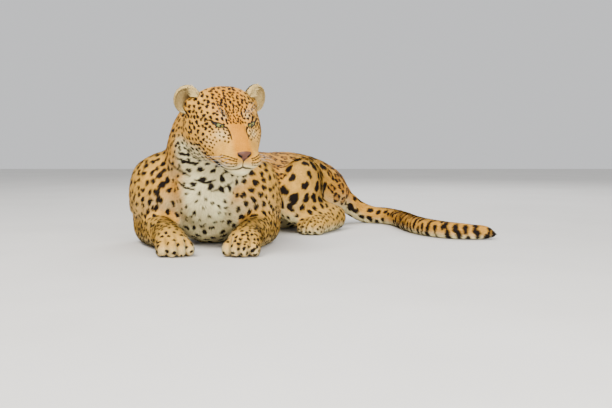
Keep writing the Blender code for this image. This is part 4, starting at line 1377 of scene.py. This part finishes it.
lid_tree = surface_tree(skin)
margin_row = slice(LID_STEPS * 4, LID_STEPS * 5)
lids = []
for side, x_sign in SIDES.items():
    points, faces = lid_ring(x_sign)
    lid = mesh_object("lid_" + side, points, faces)
    at = points_of(lid)
    from_eye = at[margin_row] - np.array(eye_middles[side])
    if (normals_of(lid)[margin_row] * from_eye).sum() < 0:
        lid.data.flip_normals()
    weights, _, _ = bone_blend(at)
    ground = ground_colour(at, normals_of(lid), weights)
    tint, _ = coat_colour(at, normals_of(lid), ground)
    keep_colour(lid, mixed(tint, BLACK * 0.6, np.repeat(LID_BLACK, LID_STEPS)))
    lids.append(lid)
print("lid points:", len(lids[0].data.vertices))

# %% [markdown]
# ## The eyes
# A leopard's iris is a yellowish green, paler round a small round pupil, with fine streaks out to
# a dark edge, and it fills almost all of the opening. The ball bulges a little at the cornea. Its
# own map gives the angle round the gaze and the angle away from it, so the finish can draw the
# pupil and iris as rings.

# %% Eyeballs that look to the animal's left
EYEBALL, CORNEA, CORNEA_REACH = 0.01480, 0.00055, 0.45
EYE_RINGS, EYE_COLUMNS, POLE = 49, 64, 0.004
GAZE_YAW, GAZE_DROP = {"left": math.radians(15), "right": math.radians(-9)}, math.radians(7)


def eyeball(side):
    """A ball of radius R + c bell(a, reach) about the gaze, a being the angle from the gaze."""
    a = np.linspace(POLE, math.pi - POLE, EYE_RINGS)[:, None]
    b = (2 * math.pi * np.arange(EYE_COLUMNS + 1) / EYE_COLUMNS)[None]
    radius = EYEBALL + CORNEA * bell(a, CORNEA_REACH)
    local = np.stack([radius * np.sin(a) * np.cos(b), -radius * np.cos(a) * np.ones_like(b),
                      radius * np.sin(a) * np.sin(b)], -1).reshape(-1, 3)
    axes = (Matrix.Translation(eye_middles[side]) @ HEAD.to_3x3().to_4x4()
            @ Matrix.Rotation(GAZE_YAW[side], 4, "Z") @ Matrix.Rotation(GAZE_DROP, 4, "X"))
    faces = grid_faces(EYE_RINGS, EYE_COLUMNS + 1)
    ball = mesh_object("eyeball_" + side, out_of(axes, local), faces)
    u, v = np.broadcast_arrays(b / (2 * math.pi), a / math.pi)
    keep_map(ball, "gaze", np.column_stack([u.ravel(), v.ravel()]), faces)
    bm = bmesh.new()
    bm.from_mesh(ball.data)
    bmesh.ops.remove_doubles(bm, verts=bm.verts, dist=0.000002)
    bmesh.ops.holes_fill(bm, edges=[edge for edge in bm.edges if edge.is_boundary])
    bmesh.ops.recalc_face_normals(bm, faces=bm.faces)
    bm.to_mesh(ball.data)
    bm.free()
    ball.data.polygons.foreach_set("use_smooth", np.ones(len(ball.data.polygons), bool))
    return ball


eyeballs = {side: eyeball(side) for side in SIDES}
print("eyeball triangles:", sum(len(p.vertices) - 2 for p in eyeballs["left"].data.polygons))

# %% [markdown]
# ## Whiskers and brow hairs
# Whiskers are stiff white hairs that grow from dark dots of the pad, here from every second one,
# and are longest towards the rear. A few shorter ones stand over each eye. Each is a tube round
# a curved path, thick at the root and fine at the tip, and all of them are one piece.

# %% Tapered hairs
HAIR_SIDES, HAIR_RINGS, HAIR_RADIUS, HAIR_TAPER = 4, 12, 0.00022, 0.85
ROOT_SINK, WHISKER_LEAST, WHISKER_GROWTH = 0.001, 0.030, 0.045
WHISKER_BACK, BROW_BACK = 0.22, 0.35  # how far a hair bends back, as a share of its length
BROW_HAIRS = (  # root and aim in the head's axes, on its left, and length
    ((0.027, 0.000, 0.022), (0.3, -0.5, 1.0), 0.030),
    ((0.032, 0.002, 0.021), (0.5, -0.4, 1.0), 0.036),
    ((0.037, 0.004, 0.021), (0.7, -0.4, 0.9), 0.034),
    ((0.042, 0.006, 0.020), (0.9, -0.3, 0.8), 0.028),
)


def hairs(name, roots, aims, droops, lengths, thick):
    """Tubes along root + aim s + droop s^2, with radius thick (1 - 0.85 s), all in one mesh."""
    s = np.linspace(0, 1, HAIR_RINGS)[None, :, None]
    path = roots[:, None] + (aims[:, None] * s + droops[:, None] * s**2) * lengths[:, None, None]
    along = unit(np.gradient(path, axis=1))
    side = unit(np.cross(along, np.array([0.31, 0.22, 0.93])))  # from a way that no hair takes
    lift = np.cross(side, along)
    turn = 2 * math.pi * np.arange(HAIR_SIDES) / HAIR_SIDES
    ring = side[:, :, None] * np.cos(turn)[:, None] + lift[:, :, None] * np.sin(turn)[:, None]
    points = path[:, :, None] + ring * (thick * (1 - HAIR_TAPER * s))[..., None]
    faces = grid_faces(HAIR_RINGS, HAIR_SIDES, closed=True)
    count = HAIR_RINGS * HAIR_SIDES
    caps = np.array([[0, 1, 2, 3], [count - 1, count - 2, count - 3, count - 4]])
    faces = np.vstack([faces[:, ::-1], caps])
    faces = (faces[None] + count * np.arange(len(roots))[:, None, None]).reshape(-1, 4)
    return mesh_object(name, points.reshape(-1, 3), faces)


def head_ways(ways):
    """Directions in the head's axes, turned into the room, at length 1."""
    return unit(np.asarray(ways, float)) @ head_turn.T


brow_roots, brow_aims, brow_lengths = (np.array(column) for column in zip(*BROW_HAIRS))
roots, aims, droops, lengths = [], [], [], []
for side, x_sign in SIDES.items():
    flip = (x_sign, 1, 1)
    places = whisker_places[side][::2]
    back = (to_head(places)[:, 1] + 0.085) / 0.03
    count = len(places)
    roots += [places - ROOT_SINK * head_ways([[x_sign, -0.4, 0]]),
              onto(skin_tree, from_head(brow_roots * flip))]
    aims += [head_ways(np.column_stack([
        x_sign * rng.uniform(0.8, 1.1, count), rng.uniform(0.1, 0.4, count) + 0.2 * back,
        rng.uniform(-0.45, 0.10, count)])), head_ways(brow_aims * flip)]
    fall = np.column_stack([np.zeros(count), np.zeros(count), rng.uniform(-0.32, -0.12, count)])
    droops += [fall + head_ways([[0, 1, 0]]) * WHISKER_BACK,
               head_ways([[x_sign * 0.3, 1, 0]] * len(BROW_HAIRS)) * BROW_BACK]
    longer = WHISKER_LEAST + WHISKER_GROWTH * np.clip(back, 0, 1)
    lengths += [longer * rng.uniform(0.8, 1.2, count), brow_lengths]
roots, aims, droops, lengths = (np.concatenate(rows) for rows in (roots, aims, droops, lengths))
whiskers = hairs("whiskers", roots, aims, droops, lengths, HAIR_RADIUS)
print("whiskers and brow hairs:", len(lengths), "longest, mm: %.0f" % (1000 * lengths.max()))

# %% [markdown]
# ## Finishes, and a short way to write their maths
# A material is a graph of nodes. One class wraps a socket so that sums and products of values can
# be written as Python expressions, each adding its Math node, and one method makes any other node
# from its type, its settings and the values of its sockets.

# %% Sockets as values
class Value:
    """One output of a node: + - * with numbers or other values add Math nodes."""

    def __init__(self, finish, socket):
        self.finish, self.socket = finish, socket

    def combined(self, operation, first, second):
        """A Math node on two values."""
        return self.finish.node("ShaderNodeMath", {"operation": operation}, {0: first, 1: second})

    def __add__(self, other):
        return self.combined("ADD", self, other)

    def __sub__(self, other):
        return self.combined("SUBTRACT", self, other)

    def __rsub__(self, other):
        return self.combined("SUBTRACT", other, self)

    def __mul__(self, other):
        return self.combined("MULTIPLY", self, other)

    __radd__, __rmul__ = __add__, __mul__


print("operators:", [name for name in vars(Value) if name.endswith(("add__", "sub__", "mul__"))])

# %% A maker of finishes
class Finish:
    """A material whose shader takes fixed values by name and whose nodes are made by node()."""

    def __init__(self, name, **fixed):
        self.material = bpy.data.materials.new(name)
        self.material.use_nodes = True
        self.tree = self.material.node_tree
        self.shader = self.tree.nodes["Principled BSDF"]
        for key, value in fixed.items():
            self.shader.inputs[key.replace("_", " ")].default_value = value

    def feed(self, socket, value):
        """Links a value to a socket, or sets a plain number or colour on it."""
        if isinstance(value, Value):
            self.tree.links.new(value.socket, socket)
        else:
            socket.default_value = value

    def node(self, kind, settings=None, inputs=None, output=0):
        """Makes any node: settings first, a ramp's stops among them, then values or links."""
        made = self.tree.nodes.new(kind)
        settings = dict(settings or {})
        stops = settings.pop("stops", None)
        for key, value in settings.items():
            setattr(made, key, value)
        if stops:
            ramp = made.color_ramp
            while len(ramp.elements) < len(stops):
                ramp.elements.new(1)
            for element, (place, colour) in zip(ramp.elements, stops):
                element.position, element.color = place, (*colour, 1)
        for key, value in (inputs or {}).items():
            self.feed(made.inputs[key], value)
        return Value(self, made.outputs[output])

    def place(self):
        """Object coordinates: metres on a piece whose object is at the origin."""
        return self.node("ShaderNodeTexCoord", output="Object")

    def own_map(self, name):
        """The piece's own UV map."""
        return self.node("ShaderNodeUVMap", {"uv_map": name})

    def colour_of(self, name):
        """A colour stored at the points of the piece."""
        return self.node("ShaderNodeAttribute", {"attribute_name": name}, output="Color")

    def number_of(self, name):
        """A number stored at the points of the piece."""
        return self.node("ShaderNodeAttribute", {"attribute_name": name}, output="Fac")

    def noise(self, place, scale, detail=3.0, rough=0.5):
        """Noise from 0 to 1 with so many spots to the metre."""
        return self.node("ShaderNodeTexNoise", {}, {
            "Vector": place, "Scale": scale, "Detail": detail, "Roughness": rough})

    def times(self, first, second):
        """Two colours multiplied, which darkens the first by the second."""
        return self.node("ShaderNodeMix", {"data_type": "RGBA", "blend_type": "MULTIPLY"},
                         {0: 1.0, 6: first, 7: second}, output=2)

    def ramp(self, value, stops):
        """Colours along a value from 0 to 1, each stop a place and a colour."""
        return self.node("ShaderNodeValToRGB", {"stops": stops}, {"Fac": value})

    def mottle(self, scale, dark, light=(1, 1, 1), detail=3.0, ends=(0.3, 0.7)):
        """Noise over the piece, drawn from a darker colour to a lighter one."""
        return self.ramp(self.noise(self.place(), scale, detail), list(zip(ends, (dark, light))))

    def bump(self, height, strength, distance):
        """A normal that tilts with a height, the distance being the height of 1 in metres."""
        return self.node("ShaderNodeBump", {}, {
            "Height": height, "Strength": strength, "Distance": distance})

    def wear(self, **links):
        """Links values to the shader's sockets and returns the material."""
        for key, value in links.items():
            self.feed(self.shader.inputs[key.replace("_", " ")], value)
        return self.material


print("finish maker ready")

# %% [markdown]
# ## Skin, coat, eyes and hairs
# The skin shows only between tufts and on the nose, lips and lids: matt where hair covers it and
# moist where it is bare, with a pebbled grain on the leather. The coat takes its colour from the
# tufts, with a slow drift of tone and a fine streak. Eyes are glossy under a clear coat.

# %% Make the finishes
def keep_leather(obj, shares):
    """Stores at each point how far the skin is bare: 0 under hair, 1 on the nose."""
    layer = obj.data.attributes.new("bare_leather", "FLOAT", "POINT")
    layer.data.foreach_set("value", np.asarray(shares, np.float32))


lips = mouth_black(skin_points) * headness(skin_points)
keep_leather(skin, np.maximum(pad_share(to_head(skin_points)), lips))
for ear in ears.values():
    keep_leather(ear, np.zeros(len(ear.data.vertices)))
for lid in lids:
    keep_leather(lid, np.repeat(LID_LEATHER, LID_STEPS))

hide = Finish("hide", Specular_IOR_Level=0.30)
bare = hide.number_of("bare_leather")
grain = hide.noise(hide.place(), 420.0, 4.0, 0.6)
pebbles = hide.node("ShaderNodeTexVoronoi", {}, {"Vector": hide.place(), "Scale": 900.0})
hide_finish = hide.wear(
    Base_Color=hide.times(hide.colour_of("coat_colour"), hide.mottle(60.0, (0.86, 0.86, 0.86))),
    Roughness=0.82 - bare * 0.42,
    Normal=hide.bump(grain * (1 - bare) + pebbles * bare, 0.35, 0.0006))

fur = Finish("fur", Roughness=0.70, Specular_IOR_Level=0.08)
drifting = fur.times(
    fur.colour_of("coat_colour"), fur.mottle(45.0, (0.84, 0.82, 0.80), detail=4.0, ends=(0.30, 0.70)))
streak = fur.mottle(900.0, (0.88, 0.88, 0.88), detail=2.0, ends=(0.25, 0.75))
fur_finish = fur.wear(
    Base_Color=fur.times(drifting, streak),
    Normal=fur.bump(fur.noise(fur.place(), 1400.0, 2.0), 0.25, 0.0003))

eye = Finish("eye", Roughness=0.12, Specular_IOR_Level=0.30, Coat_Weight=0.45, Coat_Roughness=0.02)
round_gaze, off_gaze = (
    eye.node("ShaderNodeSeparateXYZ", {}, {0: eye.own_map("gaze")}, output=axis) for axis in (0, 1))
angle = round_gaze * (2 * math.pi)
rays = eye.node("ShaderNodeCombineXYZ", {}, {
    0: eye.node("ShaderNodeMath", {"operation": "COSINE"}, {0: angle}),
    1: eye.node("ShaderNodeMath", {"operation": "SINE"}, {0: angle}), 2: off_gaze * 4.0})
iris = eye.ramp(off_gaze + (eye.noise(rays, 14.0, 3.0) - 0.5) * 0.012, [
    (0.062, (0.002, 0.002, 0.002)), (0.070, (0.280, 0.215, 0.030)), (0.130, (0.260, 0.270, 0.050)),
    (0.200, (0.120, 0.150, 0.035)), (0.225, (0.012, 0.010, 0.006)), (0.34, (0.060, 0.036, 0.022))])
streaks = eye.ramp(eye.noise(rays, 30.0, 2.0), [(0.3, (0.72, 0.72, 0.70)), (0.7, (1, 1, 1))])
eye_finish = eye.wear(Base_Color=eye.times(iris, streaks))

bristle = Finish("whisker", Roughness=0.35)
bristle_finish = bristle.wear(
    Base_Color=bristle.mottle(120.0, (0.62, 0.56, 0.47), (0.86, 0.82, 0.74)))
for pieces, finish in (((skin, *ears.values(), *lids), hide_finish), (coats, fur_finish),
                       (eyeballs.values(), eye_finish), ((whiskers,), bristle_finish)):
    for piece in pieces:
        piece.data.materials.clear()
        piece.data.materials.append(finish)
print("finishes:", [finish.name for finish in (hide_finish, fur_finish, eye_finish, bristle_finish)])

# %% [markdown]
# ## What stands for what
# The skin and ears replace the solids of the flesh, and the new eyeballs replace the plain ones.
# Every piece rides on the one body of this still model.

# %% Tie the pieces to the frame
keep_colour(skin, skin_colour)
for side in SIDES:
    keep_colour(ears[side], ear_data[side][2])
for piece in (skin, *ears.values(), *lids, *eyeballs.values(), whiskers, *coats):
    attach(piece, "root")
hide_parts(*body_nodes)
for side in SIDES:
    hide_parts("ear_" + side)
    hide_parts("eye_" + side)

# %% [markdown]
# ## Floor, light and camera
# A plain pale floor and broad soft lamps show the coat as a museum would. The camera stands where
# the photographer did: level with the animal, a little under three metres away, with the animal
# to the left of the frame.

# %% Set the stage
FLOOR_HALF = 6
CAMERA_PLACE = np.array([0.262, -2.762, 0.300])  # in the tables' frame
FRAME_WIDTH, FOCAL, HORIZON = 612, 1020, 69  # pixels: the horizon is over the frame's middle

floor_corners = [(x * FLOOR_HALF, y * FLOOR_HALF, 0) for x, y in ((-1, -1), (1, -1), (1, 1), (-1, 1))]
floor = mesh_object("floor", floor_corners, [(0, 1, 2, 3)], smooth=False)
pale = Finish("pale_floor", Roughness=0.85)
floor.data.materials.append(pale.wear(
    Base_Color=pale.mottle(3.0, (0.60, 0.59, 0.57), (0.64, 0.63, 0.61))))

camera = bpy.data.objects.new("camera", bpy.data.cameras.new("camera"))
ROOM.objects.link(camera)
camera.location = Vector(CAMERA_PLACE + SHIFT)
camera.rotation_euler = (math.pi / 2 - math.atan2(HORIZON, FOCAL), 0, 0)
camera.data.sensor_width = 36
camera.data.lens = camera.data.sensor_width * FOCAL / FRAME_WIDTH
bpy.context.scene.camera = camera


def soft_light(name, place, aim, size, power, tint=(1, 1, 1)):
    """A square lamp at a place, facing another."""
    lamp = bpy.data.lights.new(name, "AREA")
    lamp.size, lamp.energy, lamp.color = size, power, tint
    obj = bpy.data.objects.new(name, lamp)
    ROOM.objects.link(obj)
    obj.location = place
    obj.rotation_euler = (Vector(aim) - Vector(place)).to_track_quat("-Z", "Y").to_euler()


soft_light("key", (-1.2, -1.8, 2.8), (0, -0.1, 0.15), 1.6, 150, (1.0, 0.96, 0.90))
soft_light("fill", (0.9, -3.0, 0.8), (0, 0, 0.05), 2.2, 150, (1.0, 0.97, 0.92))
soft_light("back", (0.6, 2.4, 2.2), (0, 0, 0.2), 2.0, 60)
world = bpy.data.worlds.new("studio")
world.use_nodes = True
sky = world.node_tree.nodes["Background"].inputs
sky["Color"].default_value, sky["Strength"].default_value = (0.92, 0.93, 0.95, 1), 0.85
bpy.context.scene.world = world
print("camera at", [round(v, 3) for v in camera.location])

# %% [markdown]
# The visual model may stand only a little proud of the packed body's box.
